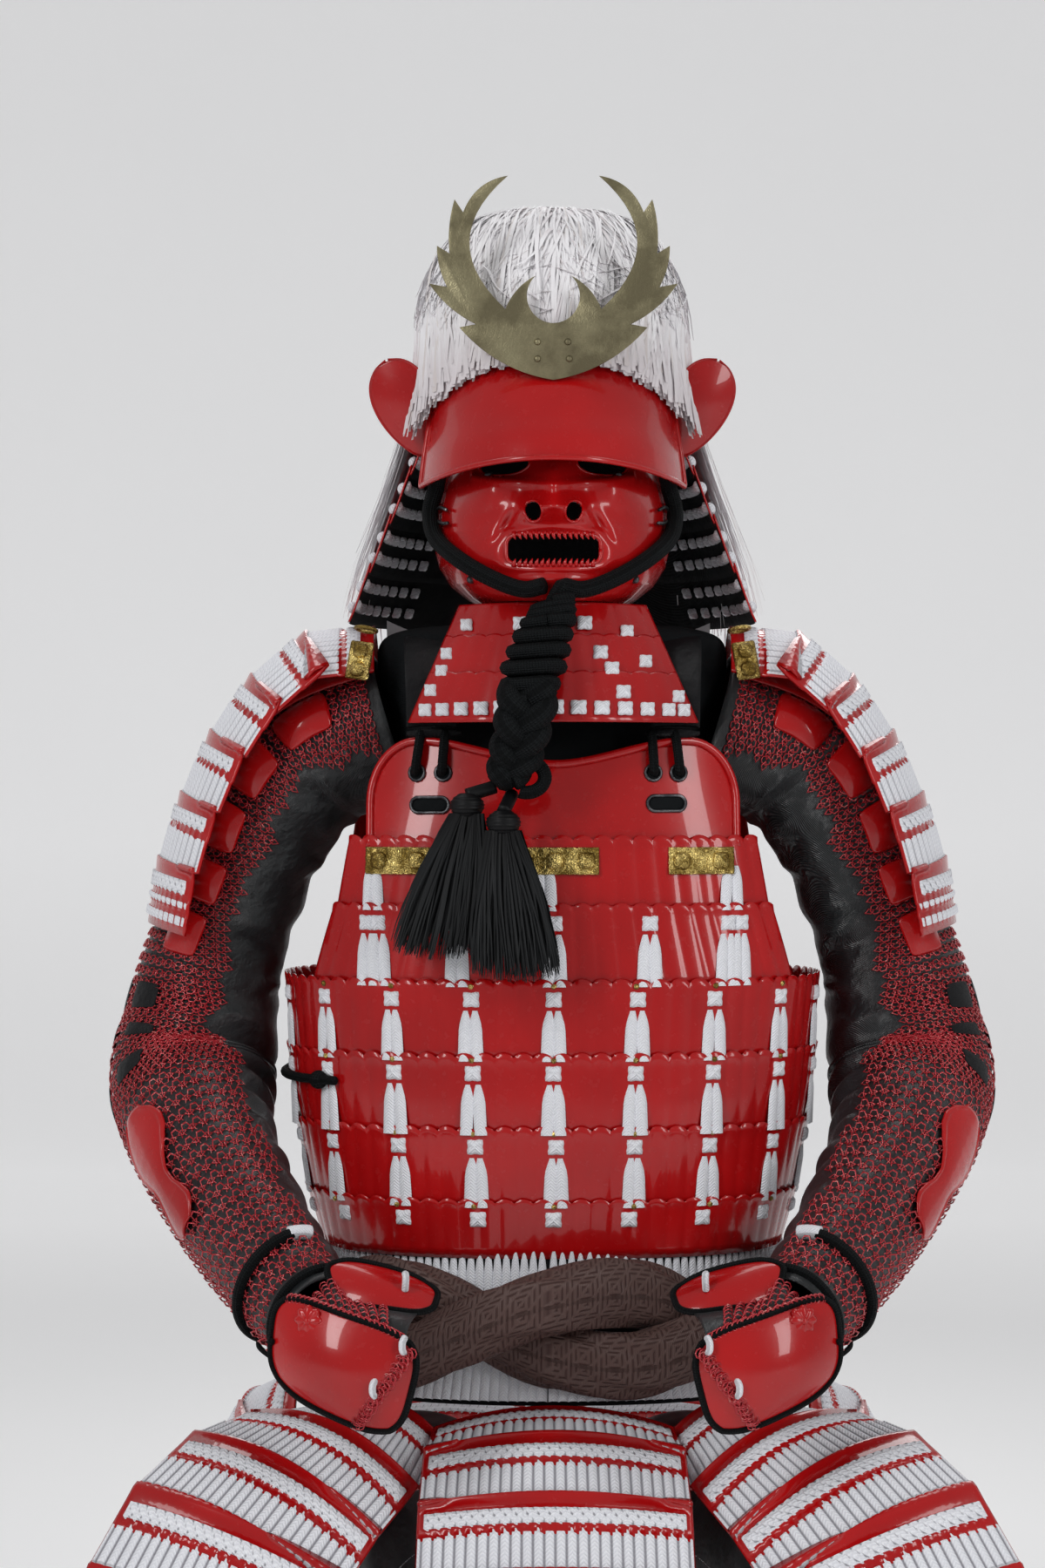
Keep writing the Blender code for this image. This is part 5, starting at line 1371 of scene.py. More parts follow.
angles = np.linspace(0, 360, 120, endpoint=False)[None]
share = np.linspace(0.0, 0.97, 60)[:, None]
under = hair_at(angles, share, 0.915)
side = np.minimum(angles, 360 - angles)[0]
keep = (share[:-1] < 0.40) | (side[None] > 93)
keep = keep & ((share[:-1] < 0.87) | (side[None] > 120))
cells = grid_cells(60, 120, True, keep)
uv = joined(0.10 + 0.2 * share, 0.5 + 0.4 * np.sin(angles * 1.7))
shell = (under.reshape(-1, 3), cells, uv.reshape(-1, 2))
build_part("long_hair", merged([hair, shell]), HAIR, ["hair"])
print("locks of hair:", len(all_locks))

# %% [markdown]
# ## Sleeves, yoke and aprons
# Cloth is a thin shell on the form of its solid. Creases are listed one by one, each with its own place,
# direction, length and depth: they gather at the inside of the elbow and fan out from where the cloth is
# held.

# %% Sleeve shape
ARM_ROWS = [
    (-0.1180, 0.004, -0.060, 0.058, 0.064), (-0.176, 0.007, -0.080, 0.056, 0.060),
    (-0.214, 0.010, -0.125, 0.053, 0.056), (-0.237, 0.012, -0.183, 0.048, 0.053),
    (-0.2575, 0.012, -0.237, 0.0525, 0.054), (-0.266, 0.008, -0.285, 0.058, 0.057),
    (-0.272, -0.010, -0.330, 0.060, 0.059), (-0.252, -0.072, -0.376, 0.050, 0.053),
    (-0.213, -0.152, -0.426, 0.043, 0.044), (-0.177, -0.222, -0.460, 0.037, 0.036),
    (-0.158, -0.258, -0.472, 0.036, 0.034),
]
ARM = evenly_spaced(through(ARM_ROWS, 80), 241)
ARM_WAY = unit(np.gradient(ARM[:, :3], axis=0))
ARM_SIDE = unit(np.cross(ARM_WAY, [0.0, -1.0, 0.0]))
ARM_FRONT = np.cross(ARM_SIDE, ARM_WAY)
ARM_LENGTH = length_of(ARM[:, :3])


def sleeve_at(turn, share, out=0.0):
    """The right sleeve at degrees round it from the front and a share of its length."""
    turn, share, out = np.broadcast_arrays(turn, share, out)
    at = np.linspace(0, 1, 241)
    take = [
        np.stack([np.interp(share, at, v[:, k]) for k in range(3)], axis=-1)
        for v in (ARM[:, :3], ARM_SIDE, ARM_FRONT)
    ]
    half_out, half_front = (np.interp(share, at, ARM[:, k]) + out for k in (3, 4))
    c, s = np.cos(np.radians(turn)), np.sin(np.radians(turn))
    return take[0] + take[2] * (c * half_front)[..., None] - take[1] * (s * half_out)[..., None]


SLEEVE_CREASES = {
    "share": [0.10, 0.16, 0.22, 0.31, 0.38, 0.44, 0.50, 0.545, 0.585, 0.62, 0.67, 0.74, 0.81, 0.88, 0.94,
              0.28, 0.53, 0.60],
    "turn": [60, 95, 120, 80, 110, 70, 95, 100, 90, 85, 105, 80, 95, 75, 90, 20, 40, 50],
    "wide": [30, 26, 34, 40, 30, 36, 48, 56, 52, 44, 30, 40, 28, 34, 40, 30, 40, 34],
    "slant": [0.4, -0.3, 0.5, -0.5, 0.3, -0.2, 0.15, -0.1, -0.2, -0.4, 0.5, -0.5, 0.3, -0.4, 0.2,
              0.6, 0.5, -0.6],
    "depth": [2.6, 3.0, 2.4, 3.4, 2.6, 3.4, 4.0, 4.6, 4.4, 4.0, 3.2, 3.4, 3.0, 2.6, 2.8, 2.3, 2.8, 2.8],
}
MAIL_EDGE = {"share": [0.0, 0.25, 0.46, 0.60, 0.97], "turn": [6, 4, 8, 58, 74]}


def creases(u, v, table, length, ridge=0.010):
    """The sum of long soft ridges and the valleys beside them, in metres; u in degrees round, v a share
    along."""
    total = 0.0
    for share, turn, wide, slant, depth in zip(*table.values()):
        across = (v - share) * length + slant * (u - turn) / wide * 0.012
        along = np.exp(-(((u - turn) / wide) ** 2))
        valley = 0.8 * np.exp(-(((across - 1.3 * ridge) / ridge) ** 2))
        total = total + depth * 0.001 * along * (np.exp(-((across / ridge) ** 2)) - valley)
    return total


SLEEVE_ROUND, SLEEVE_ROWS = 100, 150
HALF_WAY = SLEEVE_ROWS // 2
CREASE_SCALE = 1.35
turn = np.linspace(0, 360, SLEEVE_ROUND, endpoint=False)[None]
share = np.linspace(0, 1, SLEEVE_ROWS)[:, None]
inner_side = np.where(turn > 250, turn - 360, turn)
bare = np.clip((inner_side - np.interp(share, *MAIL_EDGE.values()) + 2) / 14, 0, 1)
sleeve_out = bare * creases(inner_side + 38, share, SLEEVE_CREASES, ARM_LENGTH)
sleeve_out += bare * 0.6 * creases(190 - inner_side, share + 0.035, SLEEVE_CREASES, ARM_LENGTH)
sleeve = sleeve_at(turn, share, CREASE_SCALE * sleeve_out - 0.0004)
for side_name, grid in (("right", sleeve), ("left", flipped(sleeve))):
    for part_name, rows in (("upper", slice(0, HALF_WAY + 1)), ("lower", slice(HALF_WAY, SLEEVE_ROWS))):
        piece = grid[rows]
        steps = np.linalg.norm(np.diff(piece, axis=1), axis=2)
        round_way = float(np.mean(steps.sum(1))) * SLEEVE_ROUND / (SLEEVE_ROUND - 1)
        name, node = f"{part_name}_sleeve_cloth_{side_name}", f"{part_name}_sleeve_{side_name}"
        made = surface(name, piece, CLOTH, closed=True, wall=0.0012, replaces=[node])
        area = area_of(piece) * SLEEVE_ROUND / (SLEEVE_ROUND - 1)
        flat = (round(round_way, 3), round(area / round_way, 3))
        "gathered" if part_name == "lower" else "draped"
yoke_rows = through([
    (0.018, 0.070, 0.055), (0.014, 0.112, 0.060), (0.003, 0.1305, 0.064), (-0.025, 0.1305, 0.070),
    (-0.055, 0.120, 0.080), (-0.100, 0.1156, 0.092), (-0.150, 0.112, 0.096),
], 40)
angles = np.linspace(0, 360, 120, endpoint=False)[None]
yoke = joined(*superellipse(angles, yoke_rows[:, 1:2], yoke_rows[:, 2:3], 2.4), yoke_rows[:, :1])
made = surface("yoke_cloth", yoke, VELVET_AND_PAINTED_SHADE, closed=True, wall=0.0012, replaces=["yoke"])
print("sleeve along its middle:", round(ARM_LENGTH, 3), "m")

# %% [markdown]
# ## Mail
# The sleeve's outer side carries mail. Rings lie in rows with every second row shifted by half a ring,
# linked by ovals across them. The edge is ragged towards the body, as the photo shows.

# %% Mail
PITCH_ROUND, PITCH_ALONG, FOREARM_PITCH = 0.0088, 0.0076, 0.0142


def turn_step(share):
    """Degrees between rings, so that they keep their distance where the sleeve narrows."""
    size = np.interp(share, np.linspace(0, 1, 241), (ARM[:, 3] + ARM[:, 4]) / 2)
    return 180 * PITCH_ROUND / (math.pi * np.minimum(size, 0.056))


def mail_places(first, last, low_turn, high_turn, edge):
    """Turns and shares of ring centres between two shares, in staggered rows with a ragged front edge."""
    upper = np.arange(first, 0.56, PITCH_ALONG / ARM_LENGTH)
    lower = np.arange(0.57, last, FOREARM_PITCH / ARM_LENGTH)
    rows = np.concatenate([upper, lower]) * ARM_LENGTH
    step = turn_step(rows / ARM_LENGTH)[:, None]
    count = int((high_turn - low_turn) / step.min())
    turn = low_turn + (np.arange(count)[None] + 0.5 * (np.arange(len(rows)) % 2)[:, None]) * step
    share = np.broadcast_to(rows[:, None] / ARM_LENGTH, turn.shape)
    ragged = edge * (np.sin(share * 37) + 0.6 * np.sin(share * 91 + 1))
    edge_turn = 2 + np.interp(share, MAIL_EDGE["share"], MAIL_EDGE["turn"]) + ragged
    keep = (turn < high_turn) & (turn < edge_turn)
    return turn[keep], share[keep]


def sleeve_axes(turn, share, out):
    """Centres and right, up and out directions on the sleeve."""
    centre = sleeve_at(turn, share, out)
    right = unit(sleeve_at(turn + 0.5, share, out) - sleeve_at(turn - 0.5, share, out))
    up = unit(sleeve_at(turn, share - 0.002, out) - sleeve_at(turn, share + 0.002, out))
    return centre, right, up, unit(np.cross(right, up))


turn, share = mail_places(0.02, 0.965, -168, 92, 5.0)
ring = torus_part(0.0037, 0.00064, 6, 3)
link = torus_part(0.0019, 0.00055, 4, 3)
link = (link[0] * [1.9, 1.0, 1.0], link[1], link[2])
centre, right, up, out = sleeve_axes(turn, share, 0.0012)
outward = np.sign((out * (centre - sleeve_at(turn, share, -0.01))).sum(1, keepdims=True))
out = out * outward
lean = unit(out + np.interp(share, [0.50, 0.62], [0.20, -0.75])[:, None] * up)
tall = np.interp(share, [0.54, 0.62], [1.0, 1.5])[:, None]
rings = copies(ring, centre, right, unit(np.cross(lean, right)) * tall, lean)
step = turn_step(share) / 2
centre2, right2, up2, out2 = sleeve_axes(turn + step, share, 0.0014)
facing2 = unit(out2 * outward + np.interp(share, [0.50, 0.62], [0.0, -0.60])[:, None] * up2)
links = copies(link, centre2, right2, unit(np.cross(facing2, right2)), facing2)
build_pair("mail", merged([rings, links]), MAIL)
print("mail rings on each sleeve:", len(turn) * 2)

# %% [markdown]
# ### Plates and leather on the sleeves
# Red plates, leather patches and the gourd plate of the forearm are grids on the sleeve's own surface,
# lifted off it. A gilt plaque sits at each shoulder strap.

# %% Plates and leather on the sleeves
def sleeve_plate(turns, shares, high, rim=0.0):
    """A domed plate on the sleeve between two turns and two shares, with eased corners and a raised rim."""
    u, v = np.linspace(-1, 1, 18)[None], np.linspace(-1, 1, 18)[:, None]
    ease_u, ease_v = u * (1 - 0.10 * v**4), v * (1 - 0.10 * u**4)
    turn = np.mean(turns) + (turns[1] - turns[0]) / 2 * ease_u
    share = np.mean(shares) + (shares[1] - shares[0]) / 2 * ease_v
    edge = np.maximum(np.abs(u), np.abs(v))
    lift = 0.0022 + high * (1 - u**2) * (1 - v**2) + rim * np.exp(-(((edge - 0.93) / 0.05) ** 2))
    return sleeve_at(turn, share, lift)


def patch_size(grid):
    """Width and length of a rectangle with the grid's area, its width the mean length of the rows."""
    wide = float(np.linalg.norm(np.diff(grid, axis=1), axis=2).sum(1).mean())
    return round(wide, 3), round(area_of(grid) / wide, 3)


def both_sides(name, grid, material, wall, rights=(), lefts=()):
    """A grid on the right and its mirror image on the left, each with a wall."""
    right = surface(f"{name}_right", grid, material, wall=wall, replaces=list(rights))
    return right, surface(f"{name}_left", flipped(grid), material, wall=wall, replaces=list(lefts))


for number, share in enumerate((0.085, 0.150, 0.215, 0.280, 0.345)):
    plate = sleeve_plate((-44, -12), (share - 0.025, share + 0.025), 0.0060, 0.0008)
    both_sides(f"upper_arm_plate_{number + 1}", plate, LACQUER, 0.0012)
LEATHERS = {
    "turns": [(-62, -34), (-96, -76), (-58, -30), (-104, -82), (-54, -26), (-100, -78)],
    "shares": [(0.405, 0.445), (0.405, 0.445), (0.468, 0.488), (0.468, 0.488), (0.520, 0.545),
               (0.520, 0.548)],
}
for number, (turns, shares) in enumerate(zip(*LEATHERS.values())):
    both_sides(f"leather_patch_{number + 1}", sleeve_plate(turns, shares, 0.0006), LEATHER, 0.0012)
share = np.linspace(0.600, 0.785, 60)[:, None]
half_turn = np.interp(share, np.linspace(0.600, 0.785, 10), [8, 24, 30, 28, 20, 14, 16, 22, 24, 10])
half_turn = (half_turn + np.roll(half_turn, 2, 0) + np.roll(half_turn, -2, 0)) / 3
u = np.linspace(-1, 1, 50)[None]
rim = 0.0012 * np.exp(-(((np.abs(u) - 0.90) / 0.06) ** 2)) + 0.0024 * (1 - u**2)
gourd = sleeve_at(-40 + half_turn * u, share, 0.0040 + rim)
both_sides("gourd_plate", gourd[1:-1], LACQUER, 0.0020, ["forearm_plate_right"], ["forearm_plate_left"])
plate = sleeve_plate((-112, -46), (0.0, 0.115), 0.0030, 0.0010)
both_sides("shoulder_red_plate", plate, LACQUER, 0.0014)
plaque = dome_part(0.0180, 0.0290, 0.0026, 0.02, 48, 8, 8.0)
boss = dome_part(0.0120, 0.0120, 0.0036, 0.06, 24)
facing = unit(np.array([[-0.16, -1.0, 0.20]]))
right = unit(np.cross([[0.14, 0.0, 1.0]], facing))
up = np.cross(facing, right)
at = np.array([[-0.1430, -0.0665, -0.0105]])
parts = [copies(plaque, at, right, up, facing)]
parts += [copies(boss, at + facing * 0.0022 + up * step, right, up, facing) for step in (-0.0070, 0.0070)]
eye = torus_part(0.0078, 0.0015, 24, 8)
parts.append(copies(eye, at + up * 0.0245 + facing * -0.004, right, facing, up))
build_pair("shoulder_plaque", merged(parts), GILT)
print("plates and patches on each sleeve:", 7 + len(LEATHERS["turns"]))

# %% [markdown]
# ## Hand guards
# Each is a domed plate with an eased outline. A black cord binds its edge, white laces tie it to the
# sleeve and a lacquered flower boss sits near its wrist corner.


# %% Hand guards
PATCH_POINTS = 44


def domed_patch(corners, bulge, round_off):
    """A bulging plate between four corners with rounded ends, and its outward direction."""
    a, b, c, d = (np.asarray(corner, float) for corner in corners)
    v, u = np.linspace(-1, 1, PATCH_POINTS)[:, None], np.linspace(-1, 1, PATCH_POINTS)[None]
    s = ((u * (1 - round_off * v**4) + 1) / 2)[..., None]
    t = ((v * (1 - round_off * u**4) + 1) / 2)[..., None]
    flat = (a * (1 - s) + b * s) * (1 - t) + (c * (1 - s) + d * s) * t
    normal = unit(np.cross(c - a, b - a))
    return flat + (bulge * (1 - u**2) * (1 - v**2 * 0.6))[..., None] * normal, normal


HAND = [
    (-0.190, -0.2761, -0.444), (-0.088, -0.316, -0.474), (-0.196, -0.2731, -0.508),
    (-0.106, -0.308, -0.545),
]
THUMB = [
    (-0.160, -0.258, -0.4240), (-0.078, -0.262, -0.4440), (-0.148, -0.288, -0.4555),
    (-0.084, -0.292, -0.4620),
]
hand, hand_out = domed_patch(HAND, 0.020, 0.16)
thumb, thumb_out = domed_patch(THUMB, 0.008, 0.22)
both_sides("hand_guard", hand, LACQUER, 0.0026, ["hand_plate_right"], ["hand_plate_left"])
both_sides("thumb_guard", thumb, LACQUER, 0.0022, ["thumb_plate_right"], ["thumb_plate_left"])


def border(grid):
    """The points round a grid's edge."""
    return np.concatenate([grid[0], grid[1:, -1], grid[-1, -2::-1], grid[-2::-1, 0]])


whites, bosses = [], []
bindings = [tube_part(evenly_spaced(border(grid), 120), 0.0024, 9) for grid in (hand, thumb)]
corner = hand[7, 12] + hand_out * 0.0005
side = unit(np.cross([0, 0, 1.0], hand_out))
flower = dome_part(0.0190, 0.0190, 0.0030, 0.0, 48, 9)
turn = np.arctan2(flower[0][:, 1], flower[0][:, 0])
flower = (flower[0] * (1 + 0.11 * np.cos(8 * turn))[:, None], flower[1], flower[2])
for part in (flower, dome_part(0.0070, 0.0070, 0.0042)):
    bosses.append(copies(part, corner[None], side[None], np.cross(hand_out, side)[None], hand_out[None]))
for root, normal in ((hand[27, 35], hand_out), (thumb[24, 30], thumb_out), (hand[6, 40], hand_out)):
    front = root + normal * 0.004
    loop = [root, front + [0, 0, 0.003], front + [0, 0, 0.008], root + [0, 0, 0.011]]
    whites.append(tube_part(through(loop, 20), 0.0024, 8))
band = sleeve_at(np.linspace(-118, 48, 60), 0.905 + 0.010 * np.sin(np.linspace(0, 3, 60)), 0.0040)
bindings.append(tube_part(band, 0.0042, 10))
for turns in ((44, 66), (-138, -114)):
    whites.append(tube_part(sleeve_at(np.linspace(*turns, 16), 0.905, 0.0040), 0.0052, 10))
cuff = tube_part(sleeve_at(np.linspace(0, 360, 90), 0.985, 0.0012), 0.0032, 10)
on_sleeve = [sleeve_at(*at) for at in ((-100, 0.91, 0.005), (-95, 0.93, 0.008), (-88, 0.965, 0.004))]
tie = through([*on_sleeve, hand[24, 1] + hand_out * 0.003], 40)
bindings += [cuff, tube_part(tie, 0.0020, 8)]
build_pair("hand_binding", merged(bindings), CORD)
build_pair("hand_laces", merged(whites), SILK)
build_pair("hand_boss", merged(bosses), LACQUER)
top_edge = [sleeve_at(-62, 0.985, 0.0), thumb[20, 0], thumb[-1, 0], thumb[-1, 20], thumb[-1, -3]]
top_edge = evenly_spaced(np.vstack(top_edge), 60)
low_edge = evenly_spaced(hand[0, 1:-2], 60)
share = np.linspace(0, 1, 24)[:, None, None]
back = top_edge * (1 - share) + low_edge * share + np.sin(math.pi * share) * np.array([0, -0.004, 0.003])
for made in both_sides("hand_cloth", back, CLOTH, 0.0012):
    patch_size(back)
print("cloth on the back of each hand:", patch_size(back), "m")
rows, columns = np.meshgrid(np.arange(2, 23, 4), np.arange(1, 50, 4), indexing="ij")
centre = back[rows.ravel(), columns.ravel()] + hand_out * 0.0010
seam = hand[np.linspace(5, 42, 26).astype(int), np.linspace(41, 32, 26).astype(int)] + hand_out * 0.0010
edge = evenly_spaced(hand[0, 2:-3], 24) + hand_out * 0.0010
centre = np.vstack([centre, seam, seam + side * 0.0030, edge])
axes = [np.tile(v, (len(centre), 1)) for v in (side, np.cross(hand_out, side), hand_out)]
build_pair("hand_mail", copies(torus_part(0.0034, 0.0006, 8, 3), centre, *axes), MAIL)

# %% [markdown]
# ## Waist: lacing ring and sash
# The sash's two strands are twisted ropes of folded brocade. The folds are ridges that run along each
# strand, so its section is a lobed circle. Its weave follows the UV.

# %% Waist and sash
WAIST_Z = [-0.5450, -0.5000, -0.4444]


def waist_at(angles, z, out=0.0):
    """The waist at an angle from the front and a height, moved out."""
    angles, z, out = np.broadcast_arrays(angles, z, out)
    width = np.interp(z, WAIST_Z, [0.184, 0.170, 0.1715]) + out
    front, back = (np.interp(z, WAIST_Z, v) + out for v in ([0.160, 0.140, 0.1335], [0.160, 0.142, 0.1335]))
    x, y = superellipse(angles, width, np.where(np.cos(np.radians(angles)) > 0, front, back), 2.3)
    return np.stack([x, y, z], axis=-1)


angles = np.linspace(0, 360, 1320, endpoint=False)[None]
z = np.linspace(-0.4444, -0.5450, 9)[:, None]
ring = waist_at(angles[:, ::4], z, -0.0006)
surface("waist_lacing", ring, VELVET_AND_PAINTED_SHADE, closed=True, wall=0.0018, replaces=["waist_laces"])
girth = evenly_spaced(np.column_stack([waist_at(angles[0], -0.47), angles[0]]) * [1, 1, 1, 1e-6], 156)
spots = girth[:-1, 3] * 1e6
parts = []
for top, length, wide in ((-0.4385, 0.0615, 0.0072), (-0.5005, 0.046, 0.0078)):
    centre, right, up, out = axes_on(waist_at, spots, np.full(len(spots), top), 0.0014)
    out = out * np.sign((out * centre * [1, 1, 0]).sum(1, keepdims=True))
    parts.append(copies(strip_part(wide, length, 0.0026), centre, right, up, out))
build_part("waist_loops", merged(parts), SILK)
SASH_Z, SASH_RADIAL, SASH_HEIGHT = -0.489, 0.0135, 0.0250
STATIONS, SASH_ROUND = 330, 48
stations = np.linspace(0, 360, STATIONS, endpoint=False)
turn = np.linspace(0, 2 * math.pi, SASH_ROUND, endpoint=False)[None]
size = 0.66 + 0.34 * np.clip(np.cos(np.radians(stations * 0.9)), 0, 1)
size = np.maximum(size, size[(-np.arange(STATIONS)) % STATIONS])
core = waist_at(stations, SASH_Z, (0.0048 + 2 * SASH_RADIAL) * size)
outwards = unit(core * [1, 1, 0])
way = way_along(core)
for number, phase in ((1, 0.0), (2, math.pi)):
    twist = np.radians(stations) * 4 + phase + 0.9
    roll = turn + twist[:, None] * 0.8
    drift = 0.8 * np.sin(np.radians(stations * 3))[:, None]
    fold = 0.955 + 0.05 * np.cos(roll * 5 + drift) + 0.03 * np.cos(roll * 9 + 1.3)
    strand_out = (SASH_RADIAL * 1.045 * np.cos(twist) * size)[:, None]
    strand_up = (SASH_HEIGHT * 1.045 * np.sin(twist) * size)[:, None]
    radial = strand_out + (SASH_RADIAL * size)[:, None] * np.cos(turn) * fold
    height = strand_up + (SASH_HEIGHT * size)[:, None] * np.sin(turn) * fold
    grid = core[:, None] + radial[..., None] * outwards[:, None]
    grid[..., 2] += height
    grid = np.concatenate([grid, grid[:1]]).transpose(1, 0, 2)[::-1]
    along, over = np.append(way, way[-1] + 0.002)[None], np.linspace(0, 0.125, SASH_ROUND)[:, None]
    uv = joined(along, over)
    index = np.arange(SASH_ROUND * (STATIONS + 1)).reshape(SASH_ROUND, STATIONS + 1)
    ahead = np.roll(index, -1, axis=0)
    cells = np.stack([index[:, :-1], ahead[:, :-1], ahead[:, 1:], index[:, 1:]], axis=-1).reshape(-1, 4)
    part = (grid.reshape(-1, 3), cells, uv.reshape(-1, 2))
    build_part(f"sash_rope_{number}", part, BROCADE, [f"sash_strand_{number}"])
print("sash round the waist:", round(float(way[-1]), 2), "m")

# %% [markdown]
# ## Thigh aprons
# The cloth rises over each thigh, falls at both edges and carries lines of white stitching.

# %% Thigh aprons
APRON = through([
    (0.020, 0.105, -0.664, 0.085), (-0.070, 0.135, -0.671, 0.090), (-0.150, 0.170, -0.679, 0.093),
    (-0.225, 0.203, -0.694, 0.095), (-0.271, 0.217, -0.721, 0.092), (-0.2962, 0.223, -0.757, 0.090),
    (-0.3082, 0.228, -0.800, 0.088),
], 90)
APRON_CREASES = {
    "share": [0.20, 0.36, 0.48, 0.60, 0.70, 0.80, 0.90, 0.55, 0.76],
    "turn": [-40, 30, -20, 50, -60, 10, -30, 80, 70],
    "wide": [40, 50, 44, 36, 42, 60, 50, 30, 30],
    "slant": [0.8, -0.6, 0.5, 0.9, -0.7, 0.4, -0.5, 1.0, -0.9],
    "depth": [2.6, 3.2, 2.2, 3.0, 3.4, 2.6, 2.8, 3.6, 3.2],
}


def apron_at(turns, share, out=0.0):
    """The right apron at degrees from the top of the thigh and a share of its length."""
    turns, share, out = np.broadcast_arrays(turns, share, out)
    y, x, z, half = (np.interp(share, np.linspace(0, 1, 90), APRON[:, k]) for k in range(4))
    s, c = np.sin(np.radians(turns)), np.cos(np.radians(turns))
    hang = -0.055 * np.clip((np.abs(turns) - 80) / 20, 0, 1)
    return np.stack([-x + (half + out) * s, y, z + (half + out) * c + hang], axis=-1)


turns, share = np.linspace(-100, 100, 104)[None], np.linspace(0, 1, 84)[:, None]
ripples = 0.0022 * np.sin(np.radians(turns * 9)) * np.clip(share * 1.4 - 0.6, 0, 1)
folds = creases(turns, share, APRON_CREASES, 0.42, 0.016) - ripples
apron = apron_at(turns, share, folds - 0.0008)
apron_area = area_of(apron)
for side_name, grid in (("right", apron), ("left", flipped(apron))):
    made = surface(f"apron_{side_name}", grid, CLOTH, wall=0.0015, replaces=[f"thigh_apron_{side_name}"])
share = np.linspace(0.30, 0.995, 70)
stitch_line = np.array([[0, -0.0014, 0], [0, 0, 0.0004], [0, 0.0014, 0]])
stitch = tube_part(stitch_line, np.array([0.0004, 0.0006, 0.0004]), 6)
parts = []
for at_turn in (-78.0, -70.0, 66.0, 74.0):
    centre = apron_at(at_turn, share, 0.0016 + creases(at_turn, share, APRON_CREASES, 0.42, 0.016))
    ahead = unit(np.gradient(centre, axis=0))
    out = unit(centre - apron_at(at_turn, share, -0.01))
    parts.append(copies(stitch, centre, np.cross(ahead, out), ahead, out))
build_pair("apron_stitching", merged(parts), SILK)
print("apron cloth for each thigh:", round(apron_area, 3), "square metres")

# %% [markdown]
# ## Straps and fittings
# Leather straps arch over the shoulders to horn toggles in front of the chest plate. Gilt bars with
# bosses close its lower edge, and a black cord is tied at the right side.

# %% Shoulder straps, toggles, gilt bars and side tie
strap_line = through([
    (0.1122, -0.078), (0.1083, -0.050), (0.088, -0.018), (0.050, 0.0006), (0.0, 0.0071),
    (-0.045, 0.0017), (-0.078, -0.022), (-0.0970, -0.0617),
], 70)
x = np.linspace(-1, 1, 24)
across = 0.089 - 0.021 * x[None] * (1 - 0.25 * np.clip(strap_line[:, :1] * -9, 0, 1) ** 3)
puff = 0.0016 * (1 - x[None] ** 4)
grid = joined(across, strap_line[:, :1], strap_line[:, 1:] + puff)
surface("strap_left", grid, LEATHER, wall=0.0040, replaces=["shoulder_strap_left"])
surface("strap_right", flipped(grid), LEATHER, wall=0.0040, replaces=["shoulder_strap_right"])
t = np.linspace(-1, 1, 30)
toggle_radius = np.interp(np.abs(t), [0, 0.33, 0.66, 1], [0.0042, 0.0040, 0.0030, 0.0014])
toggle_radius = toggle_radius + 0.0002 * np.sin(t * 50)
for side_name, sign in (("left", 1), ("right", -1)):
    line = np.stack([sign * 0.087 + 0.020 * t, np.full(30, -0.1005), np.full(30, -0.0651)], axis=1)
    part = tube_part(line, toggle_radius, 14)
    build_part(f"horn_toggle_{side_name}", part, LEATHER, [f"toggle_{side_name}"])
GILT_BARS = {"left": (-0.1105, 0.046), "centre": (0.001, 0.062), "right": (0.105, 0.047)}
GILT_Z = -0.1575
for side_name, (middle, width) in GILT_BARS.items():
    u, v = np.linspace(-1, 1, 60)[None], np.linspace(-1, 1, 24)[:, None]
    scroll = 0.0004 * np.sin(u * 22 + 2.4 * np.sin(v * 3)) * np.cos(v * 5)
    edge = 0.0006 * (np.maximum(np.abs(u), np.abs(v)) > 0.90)
    lift = STAND_OFF * 0.91 + 0.0014 + scroll + edge
    grid = chest_at(middle + width / 2 * u, GILT_Z - 0.00975 * v, lift)
    surface(f"gilt_plate_{side_name}", grid, GILT, wall=0.001, replaces=[f"gilt_bar_{side_name}"])
    spots = middle + np.array([-0.30, 0.30] if width < 0.05 else [-0.36, 0.0, 0.36]) * width
    places = axes_on(chest_at, spots, np.full(len(spots), GILT_Z), STAND_OFF + 0.0018)
    boss = copies(dome_part(0.0135, 0.0135, 0.0026, 0.08, 24), *places)
    build_part(f"gilt_bosses_{side_name}", boss, GILT)
rows = [body_point(turn, -0.318, 0.007) for turn in (-100, -88, -76, -64, -54, -48)]
part = tube_part(through(rows, 50), 0.0034, 10)
knot_radius = np.array([2, 5, 6.2, 6.8, 7, 6.8, 6.2, 5, 2]) * 0.001
knot = tube_part(body_point(np.linspace(-57, -52, 9), -0.318, 0.0075), knot_radius, 14)
build_part("side_tie", merged([part, knot]), CORD)
print("gilt bars:", len(GILT_BARS))

# %% [markdown]
# ## Back plate
# The photo doesn't show it, so it is one plain plate on the body's surface with a slight rim.

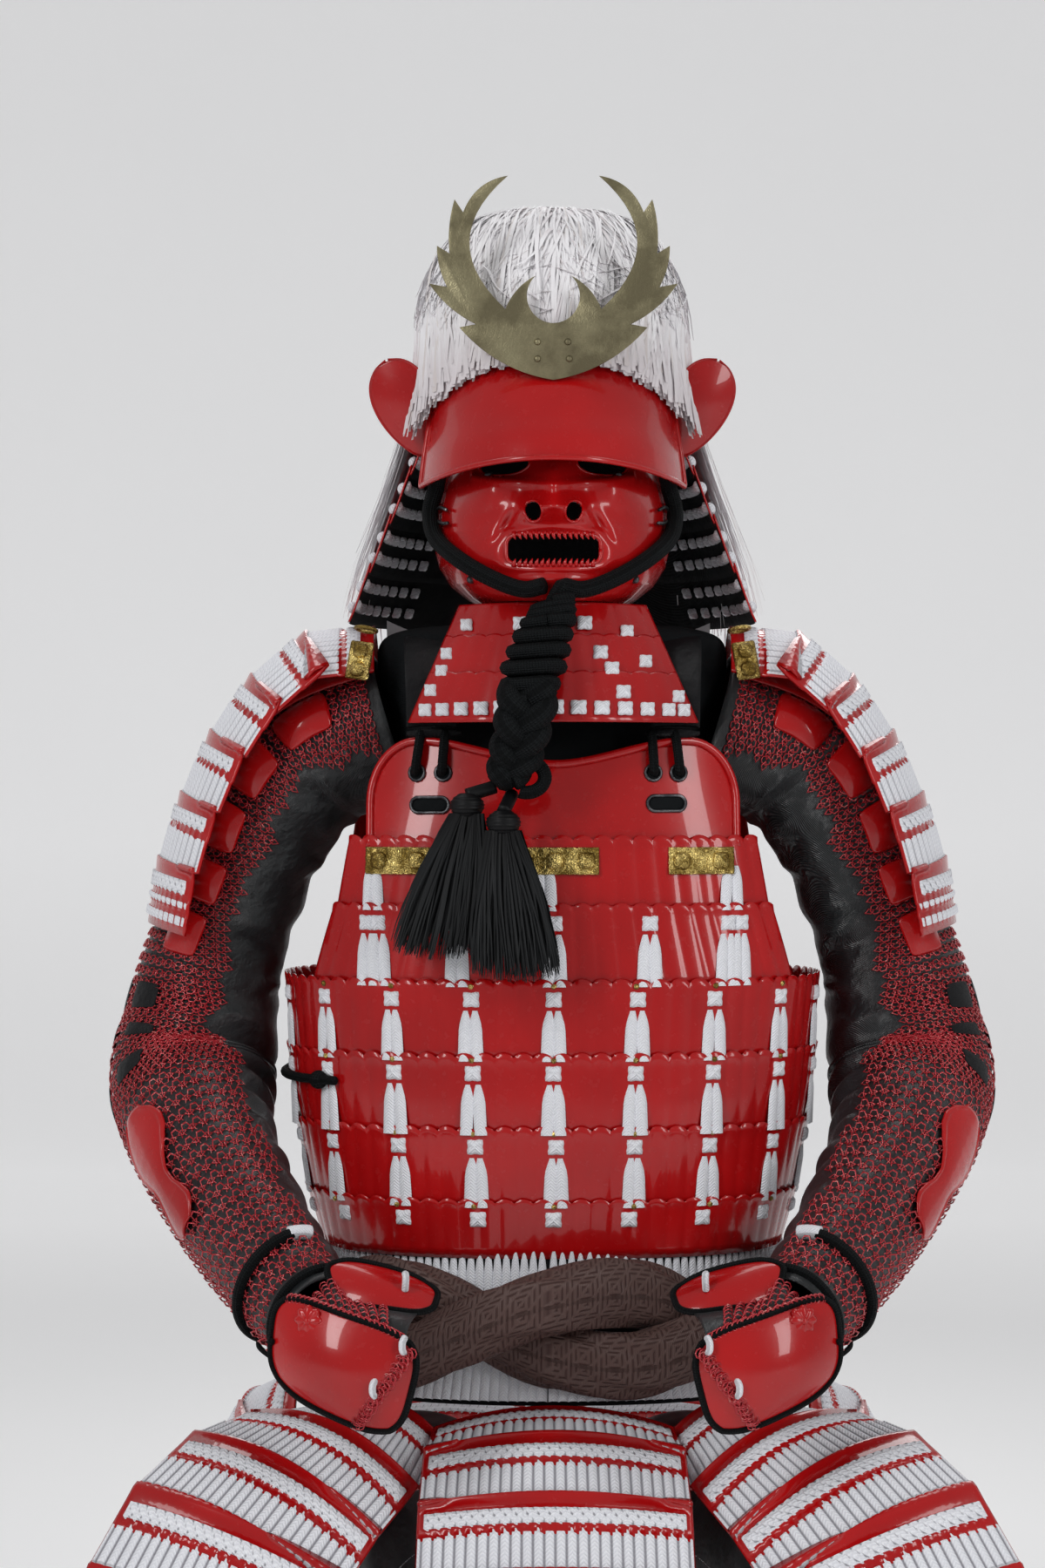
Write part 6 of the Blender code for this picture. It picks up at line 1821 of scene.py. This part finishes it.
# %% Back plate
share = np.linspace(0, 1, 40)[:, None]
z = -0.050 * (1 - share) + (-0.2465 - 1.2 * ROW_LAP) * share
spread = np.linspace(-1, 1, 120)[None]
reach = x_angle(0.135, z) * (1 - share) + x_angle(0.172, z) * share
back = body_point(180 + spread * reach, z, 0.0010 * np.exp(-(((np.abs(spread) - 0.97) / 0.02) ** 2)))
surface("back", back, LACQUER, wall=0.0015, replaces=["back_plate"])
print("back plate made")

# %% [markdown]
# ## Finish of the carried solids
# What no finer surface replaced keeps its solid, with a procedural finish of its own.

# %% Finish of the carried solids
FINISHES = {
    "upper_sleeve": CLOTH, "lower_sleeve": CLOTH, "yoke": VELVET_AND_PAINTED_SHADE, "thigh": CLOTH, "chin": CORD,
    "tassel": CORD, "shoulder_strap": LEATHER, "toggle": CORD, "crest": BRASS, "gilt": GILT,
    "sash": BROCADE, "waist": SILK, "hair": HAIR, "skirt": LACED, "shoulder_guard": LACED,
}
for node_name, node in NODES.items():
    picked = [finish for start, finish in FINISHES.items() if node_name.startswith(start)]
    node.data.materials.clear()
    node.data.materials.append(picked[0] if picked else LACQUER)
print("solids given a finish:", len(NODES))

# %% [markdown]
# ## Floor and the end
# The floor lies well below the hanging parts. Its far end rises as a pale wall behind the place of any
# back view.

# %% Floor
floor_finish = Finish("pale_floor", Roughness=0.8, Emission_Strength=1.0)
far = (floor_finish.axes(floor_finish.place)[1] * 0.25 - 0.25).clip()
pale = floor_finish.mix(floor_finish.noise(1.5), (0.90, 0.90, 0.905), (0.93, 0.93, 0.935))
floor_finish.set(Base_Color=pale)
floor_finish.set(Emission_Color=floor_finish.mix(far, (0.0, 0.0, 0.0), (0.235, 0.235, 0.237)))
turn = np.linspace(0, math.pi / 2, 9)
bend = np.stack([6.0 + 0.8 * np.sin(turn), 0.8 - 0.8 * np.cos(turn)], 1)
rise = np.concatenate([[[-9.0, 0.0]], bend, [[6.8, 9.0]]])
across = np.array([-12.0, 12.0])
ground = joined(across[None], rise[:, :1], rise[:, 1:] - 1.05)
ground_mesh = bpy.data.meshes.new("floor")
ground_mesh.from_pydata(ground.reshape(-1, 3).tolist(), [], grid_cells(len(rise), 2).tolist())
ground_mesh.shade_smooth()
ground_mesh.materials.append(floor_finish.made)
floor = bpy.data.objects.new("floor", ground_mesh)
scene.collection.objects.link(floor)
